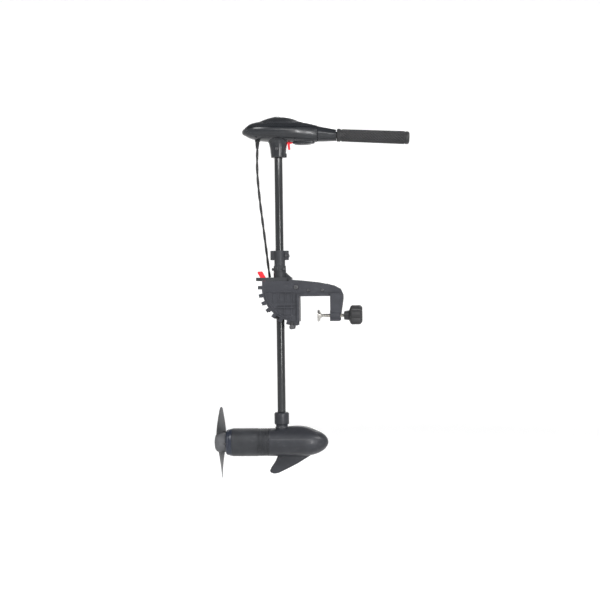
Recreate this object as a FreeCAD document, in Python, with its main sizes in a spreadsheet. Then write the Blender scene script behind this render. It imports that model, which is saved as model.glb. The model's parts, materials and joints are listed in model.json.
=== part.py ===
"""Transom-mount electric trolling motor, in millimetres.

X points from the stern towards the bow, Y to port and Z up. The origin is the middle of the seat
that rests on the transom's top edge. Stations named with "at" are distances along X from the shaft.
"""
import FreeCAD
import Part
import math
import os

import Sketcher

from FreeCAD import Placement, Rotation, Vector

SIZES = {
    # Shaft, and the seat of the tilt pivot
    "shaft_x": -84, "shaft_radius": 14, "shaft_bore": 11, "shaft_foot": -432, "shaft_top": 514,
    "pivot_x": -27, "pivot_z": 31, "pivot_radius": 6, "running_gap": 0.05,
    # Fixed bracket
    "cheek_inner": 28, "cheek_thick": 10, "fan_radius": 116, "tooth_tip": 129, "tooth_width": 12,
    "tooth_pitch": 12.8, "cheek_top": 53, "cheek_back": -142, "aft_face": -17, "seat_end": 88,
    "saddle_top": 42, "aft_plate": 8, "aft_drop": 85, "seat_half": 45, "seat_skin": 9,
    "arm_end": 131, "arm_foot": -84, "arm_half": 14, "clamp_y": 42, "clamp_z": -66,
    "boss_radius": 16, "screw_radius": 5, "insert_radius": 8,
    # Clamp screws at rest
    "pad_face": 45, "pad_thick": 9, "pad_radius": 20, "knob_start": 134, "knob_neck": 155,
    "knob_end": 195, "knob_radius": 34, "knob_lobes": 5,
    # Swivel
    "sleeve_radius": 21.5, "sleeve_foot": -75, "sleeve_top": 83, "bush_radius": 17,
    "bush_length": 26, "core_half": 21.5, "boss_turn": 14, "swivel_half": 27.4,
    "plate_low": 53.5, "plate_high": 65, "plate_back": -162, "plate_wide_end": -58,
    "plate_end": -43, "plate_half": 38, "lever_x": -139, "lever_z": 57, "lever_half": 9,
    "lock_angle": 263.2, "lock_reach": 134.6, "lock_radius": 5, "lock_half": 44,
    "strap_inner": 22.4, "strap_thick": 4.2,
    # Collars on the shaft
    "ring_foot": 83.3, "ring_top": 105, "ring_radius": 21.5, "depth_foot": 105.3,
    "depth_top": 156, "depth_radius": 18.5, "ear_foot": 124, "ear_reach": 31, "depth_screw_x": -62,
    "depth_screw_z": 139,
    # Control head
    "head_seam": 571.5, "collar_foot": 472, "collar_top": 528,
    "collar_low_radius": 26, "collar_high_radius": 31, "neck_at": 134, "sleeve_end_at": 198,
    "dome_at": -5, "dome_z": 588, "dome_long": 66, "dome_half": 36, "dome_rise": 23,
    "head_bolt_z": 500, "gland_at": -70, "gland_foot": 529,
    # Tiller, measured along its own drooping axis from a point above the shaft
    "tiller_z": 556.5, "tiller_droop": 3.3, "tube_radius": 12.5, "tube_start": 18,
    "tube_end": 430, "grip_start": 200.5, "grip_end": 446, "grip_radius": 21, "grip_tip": 22,
    "rod_half": 4, "rotor_radius": 19,
    # Motor pod, along X from the shaft
    "pod_z": -496, "pod_radius": 47.5, "pod_wall": 3.5, "joint_at": -43, "can_back_at": -169,
    "band_at": -82, "cap_back_at": -190, "hub_back_at": -230, "hub_radius": 34,
    "nose_mid_at": 68, "nose_long": 90, "socket_radius": 25,
    "socket_foot": -437, "spin_radius": 5, "armature_radius": 36.5, "magnet_inner": 38,
    "bolt_ring": 41, "blade_radius": 122.5, "blade_pitch": 111, "blade_chord": 66,
    # Battery lead
    "lead_radius": 4, "hank_x": -72, "hank_y": 59, "hank_z": -10, "hank_outer": 48.5,
    "hank_inner": 31.5, "hank_half": 8.5,
}

LEAD_UPPER = [(-154, 0, 529), (-157, 1, 478), (-157.5, 4, 424), (-154, 9, 368), (-149, 16, 312),
              (-143, 23, 258), (-137.5, 31, 205)]
LEAD_LOWER = [(-137.45, 31.08, 204.5), (-132.5, 38.3, 156.8), (-128, 46, 108), (-122, 53, 64),
              (-116, 58, 26), (-114, 59, -8)]
LEAD_TAIL = [(-42, 59, -40), (-34.5, 63, -30), (-30.5, 68.5, -17), (-30, 71.5, -3)]

SIDES = (("left", -1), ("right", 1))
AXES = {"x": Rotation(), "y": Rotation(Vector(0, 0, 1), 90), "z": Rotation(Vector(0, 1, 0), -90)}
UPRIGHT = {"x": Rotation(Vector(0, 1, 0), 90), "y": Rotation(Vector(1, 0, 0), -90),
           "z": Rotation()}

doc = FreeCAD.newDocument("trolling_motor")
sheet = doc.addObject("Spreadsheet::Sheet", "Sizes")


class Size:
    """A length that knows its value and the sheet formula that gives it."""

    def __init__(self, text, value):
        self.text = text
        self.value = value

    def join(self, sign, other, value):
        text = other.text if isinstance(other, Size) else repr(other)
        return Size(f"({self.text} {sign} {text})", value)

    def __add__(self, other):
        return self.join("+", other, self.value + number(other))

    def __sub__(self, other):
        return self.join("-", other, self.value - number(other))

    def __rsub__(self, other):
        return Size(f"({other!r} - {self.text})", other - self.value)

    def __mul__(self, other):
        return self.join("*", other, self.value * number(other))

    def __neg__(self):
        return self * -1


def number(size):
    return size.value if isinstance(size, Size) else size


class Sheet:
    """The sheet's cells as sizes, by their names."""

    def __getattr__(self, name):
        return Size("Sizes." + name, float(SIZES[name]))


def fill_sheet():
    for row, (name, value) in enumerate(SIZES.items(), start=1):
        sheet.set(f"A{row}", name)
        sheet.set(f"B{row}", str(value))
        sheet.setAlias(f"B{row}", name)
    doc.recompute()


def bind(thing, prop, size):
    if isinstance(size, Size):
        thing.setExpression(prop, size.text)
    elif "." in prop:
        thing.setExpression(prop, repr(size))
    else:
        setattr(thing, prop, size)


def place(thing, x=0, y=0, z=0, turn=None):
    thing.Placement = Placement(Vector(number(x), number(y), number(z)), turn or Rotation())
    bind(thing, "Placement.Base.x", x)
    bind(thing, "Placement.Base.y", y)
    bind(thing, "Placement.Base.z", z)
    return thing


def add(kind, name="work", **props):
    thing = doc.addObject(kind, name)
    for prop, size in props.items():
        bind(thing, prop, size)
    return thing


def box(x, y, z, long, deep, tall, turn=None):
    thing = add("Part::Box", Length=long, Width=deep, Height=tall)
    return place(thing, x, y, z, turn)


def rod(radius, long, x=0, y=0, z=0, axis="z"):
    return place(add("Part::Cylinder", Radius=radius, Height=long), x, y, z, UPRIGHT[axis])


def cone(low, high, tall, x=0, y=0, z=0, axis="z"):
    return place(add("Part::Cone", Radius1=low, Radius2=high, Height=tall), x, y, z, UPRIGHT[axis])


def fuse(*things):
    both = doc.addObject("Part::MultiFuse", "work")
    both.Shapes = list(things)
    both.Refine = True
    return both


def cut(base, *tools):
    made = doc.addObject("Part::Cut", "work")
    made.Base = base
    made.Tool = tools[0] if len(tools) == 1 else fuse(*tools)
    return made


def common(one, other):
    made = doc.addObject("Part::Common", "work")
    made.Base = one
    made.Tool = other
    return made


def group(*things):
    made = doc.addObject("Part::Compound", "work")
    made.Links = list(things)
    return made


def tube(outer, inner, long, x=0, y=0, z=0, axis="z"):
    return cut(rod(outer, long, x, y, z, axis), rod(inner, long, x, y, z, axis))


def sketch_of(body, plane, points):
    """A closed outline on one of the body's own planes, each corner tied to its sizes."""
    flat = next(o for o in body.Origin.OriginFeatures if o.Role == plane)
    sketch = body.newObject("Sketcher::SketchObject", "outline")
    sketch.AttachmentSupport = [(flat, "")]
    sketch.MapMode = "FlatFace"
    spots = [Vector(number(a), number(b), 0) for a, b in points]
    for i, spot in enumerate(spots):
        sketch.addGeometry(Part.LineSegment(spot, spots[(i + 1) % len(spots)]), False)
    for i in range(len(spots)):
        sketch.addConstraint(Sketcher.Constraint("Coincident", i, 2, (i + 1) % len(spots), 1))
    for i, (a, b) in enumerate(points):
        for kind, size in (("DistanceX", a), ("DistanceY", b)):
            index = sketch.addConstraint(Sketcher.Constraint(kind, -1, 1, i, 1, number(size)))
            if isinstance(size, Size):
                sketch.setExpression(f"Constraints[{index}]", size.text)
    return sketch


def turned(points, x=0, y=0, z=0, axis="x", turn=None):
    """A solid of revolution: its outline is distance along the axis, then radius."""
    body = doc.addObject("PartDesign::Body", "turned")
    sketch = sketch_of(body, "XZ_Plane", points)
    spin = body.newObject("PartDesign::Revolution", "spin")
    spin.Profile = sketch
    spin.ReferenceAxis = (sketch, ["H_Axis"])
    spin.Angle = 360
    return place(body, x, y, z, turn or AXES[axis])


def slab(plane, points, start, thick, x=0, y=0, z=0, turn=None):
    """A flat plate: its outline on a plane, padded along +Y, +X or +Z from start."""
    body = doc.addObject("PartDesign::Body", "slab")
    sketch = sketch_of(body, plane, points)
    away = -1 if plane == "XZ_Plane" else 1
    bind(sketch, "AttachmentOffset.Base.z", start * away)
    pad = body.newObject("PartDesign::Pad", "pad")
    pad.Profile = sketch
    bind(pad, "Length", thick)
    pad.Reversed = away < 0
    return place(body, x, y, z, turn)


def around_pivot(angle, along, across=0.0):
    """A point in the tilt plane, at an angle from +X towards +Z about the pivot."""
    a = math.radians(angle)
    x = d.pivot_x.value + along * math.cos(a) - across * math.sin(a)
    return x, d.pivot_z.value + along * math.sin(a) + across * math.cos(a)


def lead_path(points):
    """Straight runs joined by tangent arcs, each as large as its two runs allow."""
    spots = [Vector(*p) for p in points]
    edges = []
    radii = []
    at = spots[0]
    for before, corner, after in zip(spots, spots[1:], spots[2:]):
        go_in = (corner - before).normalize()
        go_out = (after - corner).normalize()
        half = go_in.getAngle(go_out) / 2
        trim = 0.45 * min((corner - before).Length, (after - corner).Length)
        radii.append(trim / math.tan(half))
        start = corner - go_in * trim
        end = corner + go_out * trim
        bend = (go_out - go_in).normalize()
        centre = corner + bend * (radii[-1] / math.cos(half))
        edges.append(Part.LineSegment(at, start).toShape())
        edges.append(Part.Arc(start, centre - bend * radii[-1], end).toShape())
        at = end
    edges.append(Part.LineSegment(at, spots[-1]).toShape())
    return Part.Wire(edges), radii


def lead(points):
    """A round lead along its route."""
    path, radii = lead_path(points)
    first = Vector(*points[1]) - Vector(*points[0])
    ring = Part.Wire(Part.Circle(Vector(*points[0]), first, d.lead_radius.value).toShape())
    made = doc.addObject("Part::Feature", "lead")
    made.Shape = path.makePipeShell([ring], True, False)
    section = math.pi * d.lead_radius.value ** 2
    share = made.Shape.Volume / (section * path.Length)
    print(f"lead: {path.Length:.0f} mm, least radius {min(radii):.0f} mm, volume share {share:.3f}")
    return made


d = Sheet()
fill_sheet()
nodes = {}


def node(name, thing):
    """Name a finished sub-part: its label is also its file's name."""
    thing.Label = name
    nodes[name] = thing
    return thing


# Bracket ------------------------------------------------------------------------------------

def cheek_wall(side):
    """The flat side wall: the fan's straight edges, the saddle and the top of the arm."""
    low = d.cheek_inner if side > 0 else -d.cheek_inner - d.cheek_thick
    corner = d.cheek_back
    outline = [(corner, d.pivot_z), (corner, d.cheek_top), (-52, d.cheek_top), (-48, 57),
               (-10, 54), (49, 47), (100, 36), (122, 24), (d.arm_end, 4), (d.arm_end, -8),
               (119, d.arm_foot), (d.seat_end, d.arm_foot), (d.seat_end, 0), (d.aft_face, 0),
               (d.aft_face, -d.aft_drop), (d.pivot_x, -d.aft_drop), (d.pivot_x, d.pivot_z)]
    return slab("XZ_Plane", outline, low, d.cheek_thick)


def cheek_fan(side):
    """A quarter disc from six o'clock to nine o'clock about the pivot."""
    low = d.cheek_inner if side > 0 else -d.cheek_inner - d.cheek_thick
    fan = add("Part::Cylinder", Radius=d.fan_radius, Height=d.cheek_thick, Angle=90)
    return place(fan, d.pivot_x, low, d.pivot_z, UPRIGHT["y"] * Rotation(Vector(0, 0, 1), 90))


def cheek_teeth(side):
    low = d.cheek_inner if side > 0 else -d.cheek_inner - d.cheek_thick
    root = d.fan_radius.value - 5
    teeth = []
    for count in range(8):
        angle = 180 + count * d.tooth_pitch.value
        x, z = around_pivot(angle, root, -d.tooth_width.value / 2)
        turn = Rotation(Vector(0, 1, 0), -angle)
        teeth.append(box(x, low, z, d.tooth_tip - root, d.cheek_thick, d.tooth_width, turn))
    return teeth


def cheek_relief(side):
    """The sunk panel on the outer face, with upright ribs left standing in it."""
    deep = 3
    low = d.cheek_inner + d.cheek_thick - deep if side > 0 else -d.cheek_inner - d.cheek_thick
    panels = []
    for start, end in ((-108, -88), (-84, -66), (-62, -44), (-40, -26)):
        panels.append(box(start, low, -22, end - start, deep, 34))
    for start, end in ((-92, -70), (-66, -46), (-42, -28)):
        panels.append(box(start, low, -64, end - start, deep, 34))
    return panels


def bracket_half(side):
    inner = 0 if side > 0 else -d.seat_half
    wall = 0 if side > 0 else -d.cheek_inner - 2
    aft = box(d.aft_face - d.aft_plate, inner, -d.aft_drop, d.aft_plate, d.seat_half,
              d.aft_drop + d.seat_skin)
    seat = box(d.aft_face - d.aft_plate, inner, 0, d.seat_end - d.aft_face + d.aft_plate + 10,
               d.seat_half, d.seat_skin)
    skin = box(-8, wall, d.saddle_top - 10, 88, d.cheek_inner + 2, 10)
    ribs = [box(x, wall, 0, 6, d.cheek_inner + 2, d.saddle_top - 2) for x in (-8, 36, 80)]
    centre = d.clamp_y if side > 0 else -d.clamp_y
    arm = slab("XZ_Plane", [(d.seat_end, 9), (124, 9), (d.arm_end, -8), (119, d.arm_foot),
                            (d.seat_end, d.arm_foot)], centre - d.arm_half, d.arm_half * 2)
    boss = rod(d.boss_radius + 2, 34, d.seat_end - 1, centre, d.clamp_z, "x")
    whole = fuse(cheek_wall(side), cheek_fan(side), *cheek_teeth(side), aft, seat, skin, *ribs,
                 arm, boss)
    pivot = rod(d.pivot_radius, 100, d.pivot_x, -50, d.pivot_z, "y")
    insert = rod(d.insert_radius, 40, d.seat_end - 3, centre, d.clamp_z, "x")
    bolts = [rod(3.1, 100, x, -50, z, "y") for x, z in ((14, 20), (62, 20))]
    return cut(whole, pivot, insert, *bolts, *cheek_relief(side))


def bracket():
    for name, side in SIDES:
        node(f"bracket_half_{name}", bracket_half(side))
    outer = d.cheek_inner + d.cheek_thick
    shank = rod(d.pivot_radius, outer * 2 + 10, d.pivot_x, -outer, d.pivot_z, "y")
    head = cone(9, 11, 4, d.pivot_x, -outer - 4, d.pivot_z, "y")
    nut = tube(10, d.pivot_radius, 8, d.pivot_x, outer, d.pivot_z, "y")
    node("pivot_bolt", fuse(shank, head))
    node("pivot_nut", nut)
    bolts = []
    for x, z in ((14, 20), (62, 20)):
        bolts.append(fuse(rod(3, outer * 2 + 6, x, -outer, z, "y"),
                          rod(5.5, 4, x, -outer - 4, z, "y"), rod(5.5, 5, x, outer, z, "y")))
    node("bracket_bolts", group(*bolts))
    inserts = [tube(d.insert_radius, d.screw_radius + 0.08, 34, d.seat_end - 1, y, d.clamp_z, "x")
               for y in (-d.clamp_y, d.clamp_y)]
    node("clamp_inserts", group(*inserts))


def knob(y):
    """A hand knob with finger lobes round its rim."""
    disc = turned([(d.knob_start, 0), (d.knob_start, 14), (d.knob_neck - 4, 16),
                   (d.knob_neck, d.knob_radius - 5), (d.knob_neck + 5, d.knob_radius),
                   (d.knob_end - 8, d.knob_radius), (d.knob_end, d.knob_radius - 9),
                   (d.knob_end, 0)], 0, y, d.clamp_z)
    flutes = []
    for count in range(int(d.knob_lobes.value)):
        a = 2 * math.pi * (count + 0.5) / d.knob_lobes.value
        out = d.knob_radius.value + 6
        flutes.append(rod(13, 60, d.knob_start + 14, y + out * math.cos(a),
                          d.clamp_z + out * math.sin(a), "x"))
    bore = rod(d.screw_radius, d.knob_neck - d.knob_start + 15, d.knob_start, y, d.clamp_z, "x")
    return cut(disc, bore, *flutes)


def clamps():
    for name, side in SIDES:
        y = d.clamp_y * side
        pad = turned([(0, 0), (0, d.pad_radius), (4, d.pad_radius), (5, 10),
                      (d.pad_thick, 10), (d.pad_thick, 4.3), (4, 4.3), (4, 0)],
                     d.pad_face, y, d.clamp_z)
        node(f"clamp_pad_{name}", pad)
        start = d.pad_face + 4.4
        screw = turned([(0, 0), (0, 4), (d.pad_thick - 3, 4), (d.pad_thick - 3, d.screw_radius),
                        (d.knob_neck - start + 15, d.screw_radius),
                        (d.knob_neck - start + 15, 0)], start, y, d.clamp_z)
        node(f"clamp_screw_{name}", screw)
        node(f"clamp_knob_{name}", knob(y))


# Swivel -------------------------------------------------------------------------------------

def swivel():
    sleeve = rod(d.sleeve_radius, d.sleeve_top - d.sleeve_foot, d.shaft_x, 0, d.sleeve_foot)
    core = box(d.shaft_x, -d.core_half, -20, d.plate_end - d.shaft_x, d.core_half * 2,
               d.plate_low + 22)
    boss = rod(d.boss_turn, d.swivel_half * 2, d.pivot_x, -d.swivel_half, d.pivot_z, "y")
    link = slab("XZ_Plane", [(-48, 4), (-34, 19), (-34, 43), (-48, 60)], -d.core_half,
                d.core_half * 2)
    wide = box(d.plate_back, -d.plate_half, d.plate_low, d.plate_wide_end - d.plate_back,
               d.plate_half * 2, d.plate_high - d.plate_low)
    narrow = box(d.plate_wide_end - 1, -d.swivel_half, d.plate_low,
                 d.plate_end - d.plate_wide_end + 1, d.swivel_half * 2,
                 d.plate_high - d.plate_low)
    gusset = slab("XZ_Plane", [(-66, 81), (-62, 81), (-44, 64), (-66, 64)], -6, 12)
    leg = slab("XZ_Plane", [(-64, -18), (-44, -18), (-36, -40), (-36, -88), (-50, -88),
                            (-64, -50)], -10, 20)
    slot = box(-159, -d.lever_half - 0.6, d.plate_low - 1, 41, d.lever_half * 2 + 1.2, 20)
    pin = rod(3.05, 44, d.lever_x, -22, d.lever_z, "y")
    bore = rod(d.bush_radius, 200, d.shaft_x, 0, d.sleeve_foot - 10)
    pivot = rod(d.pivot_radius + 2.5, 80, d.pivot_x, -40, d.pivot_z, "y")
    whole = cut(fuse(sleeve, core, boss, link, wide, narrow, gusset, leg), slot, pin, bore, pivot)
    node("swivel_housing", whole)
    fit = d.shaft_radius + d.running_gap
    low = tube(d.bush_radius, fit, d.bush_length, d.shaft_x, 0, d.sleeve_foot)
    high = tube(d.bush_radius, fit, d.bush_length, d.shaft_x, 0, d.sleeve_top - d.bush_length)
    node("steering_bushes", group(low, high))
    turn_fit = d.pivot_radius + d.running_gap
    bushes = [tube(d.pivot_radius + 2.5, turn_fit, 24, d.pivot_x, y, d.pivot_z, "y")
              for y in (-d.swivel_half, d.swivel_half - 24)]
    node("pivot_bushes", group(*bushes))


def tilt_lever():
    """The red tab, its hub with trunnions and the foot that presses the yoke down."""
    tab = slab("XZ_Plane", [(-160, 82), (-158, 86), (-145, 86.5), (-143.5, 85), (-131, 62),
                            (-134, 54), (-144, 54), (-149, 62)], -d.lever_half,
               d.lever_half * 2)
    foot = slab("XZ_Plane", [(-144, 58), (-134, 58), (-130, 44), (-119, 38), (-119, 33.5),
                             (-130, 33.5), (-140, 42)], -7, 14)
    hub = rod(3, 36, d.lever_x, -18, d.lever_z, "y")
    node("tilt_lever", fuse(tab, foot, hub))


def lock_yoke():
    """Two straps beside the sleeve, tied under the lever, that carry the lock pin."""
    x, z = around_pivot(d.lock_angle.value, d.lock_reach.value)
    outline = [(x - 8, z + 6), (x - 8, z - 8), (x + 8, z - 8), (x + 8, z + 6), (-36, -72),
               (-36, -36), (-48, -28), (-112, 30), (-128, 30), (-128, 18), (-60, -40),
               (-50, -60)]
    lows = (d.strap_inner, -d.strap_inner - d.strap_thick)
    straps = [slab("XZ_Plane", outline, low, d.strap_thick) for low in lows]
    tie = box(-128, -d.strap_inner - 1, 18, 14, d.strap_inner * 2 + 2, 9.5)
    hole = rod(d.lock_radius, d.lock_half * 2, x, -d.lock_half, z, "y")
    node("lock_yoke", cut(fuse(*straps, tie), hole))
    grip = [rod(d.lock_radius + 3, 3, x, y, z, "y") for y in (-d.lock_half - 3, d.lock_half)]
    pin = rod(d.lock_radius, d.lock_half * 2, x, -d.lock_half, z, "y")
    node("lock_pin", fuse(pin, *grip))
    springs = []
    for side in (-1, 1):
        coil = Part.makeHelix(2.6, 24, 3.2)
        wire = Part.Wire(Part.Circle(Vector(3.2, 0, 0), Vector(0, 1, 0), 0.6).toShape())
        spring = doc.addObject("Part::Feature", "spring")
        spring.Shape = Part.Wire(coil).makePipeShell([wire], True, True)
        springs.append(place(spring, -121, 16 * side, 28.7))
    node("lock_springs", group(*springs))


def collars():
    """Steering tension ring below, and the depth collar with its two ears above."""
    ring = rod(d.ring_radius, d.ring_top - d.ring_foot, d.shaft_x, 0, d.ring_foot)
    notches = []
    for count in range(14):
        a = 2 * math.pi * (count + 0.5) / 14
        out = d.ring_radius.value + 0.6
        notches.append(rod(1.9, 13, d.shaft_x + out * math.cos(a), out * math.sin(a),
                           d.ring_foot + 9))
    nib = box(d.shaft_x - d.ring_radius - 5, -5, d.ring_foot + 5, 8, 10, 9)
    bore = rod(d.shaft_radius + 0.5, 60, d.shaft_x, 0, d.ring_foot - 10)
    seat = rod(2.5, 22, -68, -29, 93, "y")
    node("tension_ring", cut(fuse(ring, nib), bore, seat, *notches))
    node("tension_screw", fuse(rod(2.5, 14, -68, -23.4, 93, "y"), rod(4.5, 3, -68, -26.4, 93, "y")))
    barrel = rod(d.depth_radius, d.depth_top - d.depth_foot, d.shaft_x, 0, d.depth_foot)
    ears = box(d.shaft_x - d.ear_reach, -7, d.ear_foot, d.ear_reach * 2, 14,
               d.depth_top - d.ear_foot)
    hold = rod(d.shaft_radius + d.running_gap, 80, d.shaft_x, 0, d.depth_foot - 10)
    slit = box(d.shaft_x, -1, d.depth_foot - 1, 40, 2, 80)
    screw = rod(3, 60, d.depth_screw_x, -30, d.depth_screw_z, "y")
    node("depth_collar", cut(fuse(barrel, ears), hold, slit, screw))
    shank = turned([(0, 0), (0, 5), (4, 5), (4, 2.95), (26, 2.95), (26, 9), (40, 11), (42, 9),
                    (42, 0)], d.depth_screw_x, -11.5, d.depth_screw_z, "y")
    node("depth_screw", shank)


def lead_holder():
    """The arm beside the top plate and the strap that hangs the hank from it."""
    arm = box(-63, d.plate_half, 56, 5, 24, 4.5)
    finger = box(-84, d.plate_half + 18, 56, 26, 6, 4.5)
    stop = box(-86, d.plate_half + 18, 56, 3, 6, 9)
    node("lead_hook", fuse(arm, finger, stop))
    width = 9
    thick = 2
    tall = 43.7
    low = 18.9
    deep = 30
    outer = box(-76.5, 44.5, low, width, deep, tall)
    inner = box(-77, 44.5 + thick, low + thick, width + 1, deep - 2 * thick, tall - 2 * thick)
    node("lead_strap", cut(outer, inner))


def battery_lead():
    node("lead_upper", lead(LEAD_UPPER))
    node("lead_lower", lead(LEAD_LOWER))
    hank = tube(d.hank_outer, d.hank_inner, d.hank_half * 2, d.hank_x, d.hank_y - d.hank_half,
                d.hank_z, "y")
    node("lead_hank", hank)
    node("lead_tail", lead(LEAD_TAIL))
    end = LEAD_TAIL[-1]
    lugs = []
    for shift in (-5.2, 5.2):
        barrel = rod(3.2, 14, end[0] + shift, end[1], end[2])
        ring = cut(rod(5, 1.6, end[0] + shift, end[1] - 0.8, end[2] + 20, "y"),
                   rod(2.7, 1.6, end[0] + shift, end[1] - 0.8, end[2] + 20, "y"))
        neck = box(end[0] + shift - 2.5, end[1] - 0.8, end[2] + 12, 5, 1.6, 5)
        lugs.append(fuse(barrel, ring, neck))
    node("lead_lugs", group(*lugs))


# Control head -------------------------------------------------------------------------------

HEAD = [(-122, 7, 561, 551), (-112, 24, 572, 545), (-95, 39, 585, 537), (-70, 50, 592, 530),
        (-35, 56, 594, 525), (10, 57, 595, 522), (60, 50, 594, 520.5), (100, 39, 589, 521),
        (134, 29, 580, 523)]


def head_loft(wall):
    """Ellipses along X from the tail to the neck, joined by a smooth skin."""
    rings = []
    across = Rotation(Vector(0, 1, 0), Vector(0, 0, 1), Vector(1, 0, 0), "XYZ")
    for at, half, top, low in HEAD:
        if wall and at < -100:
            continue
        high = (top - low) / 2 - wall
        ring = add("Part::Ellipse", MajorRadius=half - wall, MinorRadius=high)
        rings.append(place(ring, d.shaft_x + at, 0, (top + low) / 2, across))
    loft = doc.addObject("Part::Loft", "work")
    loft.Sections = rings
    loft.Solid = True
    return loft


def dome(shrink):
    round_top = add("Part::Ellipsoid", Radius1=d.dome_rise - shrink, Radius2=d.dome_long - shrink,
                    Radius3=d.dome_half - shrink)
    round_top.Angle1 = 0
    return place(round_top, d.shaft_x + d.dome_at, 0, d.dome_z)


def slice_box(low, high):
    return box(d.shaft_x - 140, -80, low, 300, 160, high - low)


def control_head():
    tilt = Rotation(Vector(0, 1, 0), d.tiller_droop.value)
    bolt_y = 34
    meter = box(d.shaft_x - 22, -9, 603, 44, 18, 12)
    screws = [(at, y * side, head) for at, y, head in ((-75, 30, 532.2), (60, 32, 523.8))
              for side in (-1, 1)]
    upper_skin = cut(fuse(head_loft(0), dome(0)), head_loft(3), dome(3), meter)
    node("head_upper_shell", common(upper_skin, slice_box(d.head_seam, 640)))
    collar = cone(d.collar_low_radius, d.collar_high_radius, d.collar_top - d.collar_foot,
                  d.shaft_x, 0, d.collar_foot)
    lug = box(d.shaft_x + 18, -6, d.collar_foot, 11, 12, 12)
    keel = slab("XZ_Plane", [(-46, 526), (-44, 520), (-38, 516.5), (22, 517), (28, 524)], -17, 34)
    skin = common(cut(head_loft(0), head_loft(3)), slice_box(500, d.head_seam))
    trigger_slot = box(d.shaft_x + 31, -5.5, 500, 22, 11, 40)
    bores = [rod(d.shaft_radius, 80, d.shaft_x, 0, d.collar_foot - 1),
             rod(3, 2 * bolt_y + 20, d.shaft_x - 3, -bolt_y - 10, d.head_bolt_z, "y"),
             rod(8.5, 30, d.shaft_x + d.gland_at, 0, d.gland_foot - 12),
             rod(2.05, 17, -46, -8.5, 524.5, "y")]
    bores += [rod(2.05, 60, d.shaft_x + at, y, head) for at, y, head in screws]
    inside = cut(head_loft(3), collar)
    keep = common(cut(fuse(collar, lug, keel), inside), slice_box(400, d.head_seam))
    node("head_lower_shell", cut(fuse(skin, keep), trigger_slot, *bores))
    node("shell_screws", group(*[
        fuse(rod(2, 36, d.shaft_x + at, y, head), rod(3.6, 3, d.shaft_x + at, y, head))
        for at, y, head in screws]))
    bolt = fuse(rod(3, 62, d.shaft_x - 3, -31, d.head_bolt_z, "y"),
                rod(5.5, 3, d.shaft_x - 3, -33, d.head_bolt_z, "y"),
                rod(5.5, 4, d.shaft_x - 3, 29.5, d.head_bolt_z, "y"))
    node("head_bolt", bolt)
    gland = cut(fuse(rod(8.5, 13, d.shaft_x + d.gland_at, 0, d.gland_foot),
                     rod(7, 8, d.shaft_x + d.gland_at, 0, d.gland_foot + 10)),
                rod(d.lead_radius, 40, d.shaft_x + d.gland_at, 0, d.gland_foot))
    node("lead_gland", gland)
    node("meter_window", box(d.shaft_x - 22, -9, 605.5, 44, 18, 4.2))
    outer = doc.addObject("Part::Loft", "work")
    outer.Sections = [round_section(d.neck_at.value + 0.4, 551.5, 28.4),
                      round_section(d.sleeve_end_at.value, 545.1, 21)]
    outer.Solid = True
    bore = tilted_rod(d.tube_radius + d.running_gap, 120, 240, tilt)
    node("tiller_sleeve", cut(outer, bore))


def round_section(at, z, radius):
    ring = add("Part::Circle", Radius=radius)
    return place(ring, d.shaft_x + at, 0, z, UPRIGHT["x"])


def on_tiller(along):
    a = math.radians(d.tiller_droop.value)
    return (d.shaft_x.value + number(along) * math.cos(a),
            d.tiller_z.value - number(along) * math.sin(a))


def tilted_rod(radius, start, end, tilt):
    x, z = on_tiller(start)
    thing = add("Part::Cylinder", Radius=radius, Height=end - start)
    return place(thing, x, 0, z, tilt * UPRIGHT["x"])


def tilted_bar(half, start, end, tilt):
    """A square bar centred on the tiller's axis."""
    x, z = on_tiller(start)
    shift = tilt.multVec(Vector(0, -number(half), -number(half)))
    bar = add("Part::Box", Length=end - start, Width=half * 2, Height=half * 2)
    return place(bar, x + shift.x, shift.y, z + shift.z, tilt)


def tiller():
    tilt = Rotation(Vector(0, 1, 0), d.tiller_droop.value)
    start = d.tube_start.value
    hollow = tilted_rod(d.tube_radius - 2.5, start + 22, d.tube_end.value + 1, tilt)
    key = tilted_bar(d.rod_half + 0.15, start - 1, start + 23, tilt)
    body = tilted_rod(d.tube_radius, start, d.tube_end.value, tilt)
    node("tiller_tube", cut(body, hollow, key))
    x, z = on_tiller(d.grip_start)
    long = d.grip_end - d.grip_start
    grip = turned([(0, 12.5), (0, d.grip_radius), (5, d.grip_radius + 1), (8, d.grip_radius),
                   (long - 40, d.grip_radius), (long - 6, d.grip_tip), (long - 1.5, 19),
                   (long, 14), (long, 0), (d.tube_end - d.grip_start, 0),
                   (d.tube_end - d.grip_start, 12.5)], x, 0, z, turn=tilt)
    node("grip", grip)
    disc = tilted_rod(d.rotor_radius, -32, -20, tilt)
    rod_bar = tilted_bar(d.rod_half, -60, 196, tilt)
    node("speed_rotor", fuse(disc, rod_bar))
    case = tilted_rod(22, -60, -34, tilt)
    hole = tilted_rod(6.2, -64, -30, tilt)
    stay = slab("XZ_Plane", [(-142, 536), (-120, 533), (-120, 542), (-142, 544)], -14, 28)
    node("speed_switch", cut(fuse(case, stay), hole))


def trigger():
    """The red catch under the head, on its own trunnions."""
    outline = [(-46, 529), (-36, 527), (-34, 521), (-44, 518), (-44, 512), (-42.5, 500),
               (-46, 497.5), (-50, 499), (-51, 508), (-52.5, 520), (-51, 527)]
    catch = slab("XZ_Plane", outline, -4.5, 9)
    node("trigger", fuse(catch, rod(2, 16, -46, -8, 524.5, "y")))


# Motor pod ----------------------------------------------------------------------------------

def skeg_outline():
    return [(50, -482), (68, -505.5), (10, -543.5), (-30, -568.5), (-71, -589.5), (-85, -596),
            (-98, -602.5), (-112, -603.5), (-124, -600), (-127, -594), (-121, -581),
            (-109, -564), (-100, -545), (-96, -520), (-60, -482)]


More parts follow.
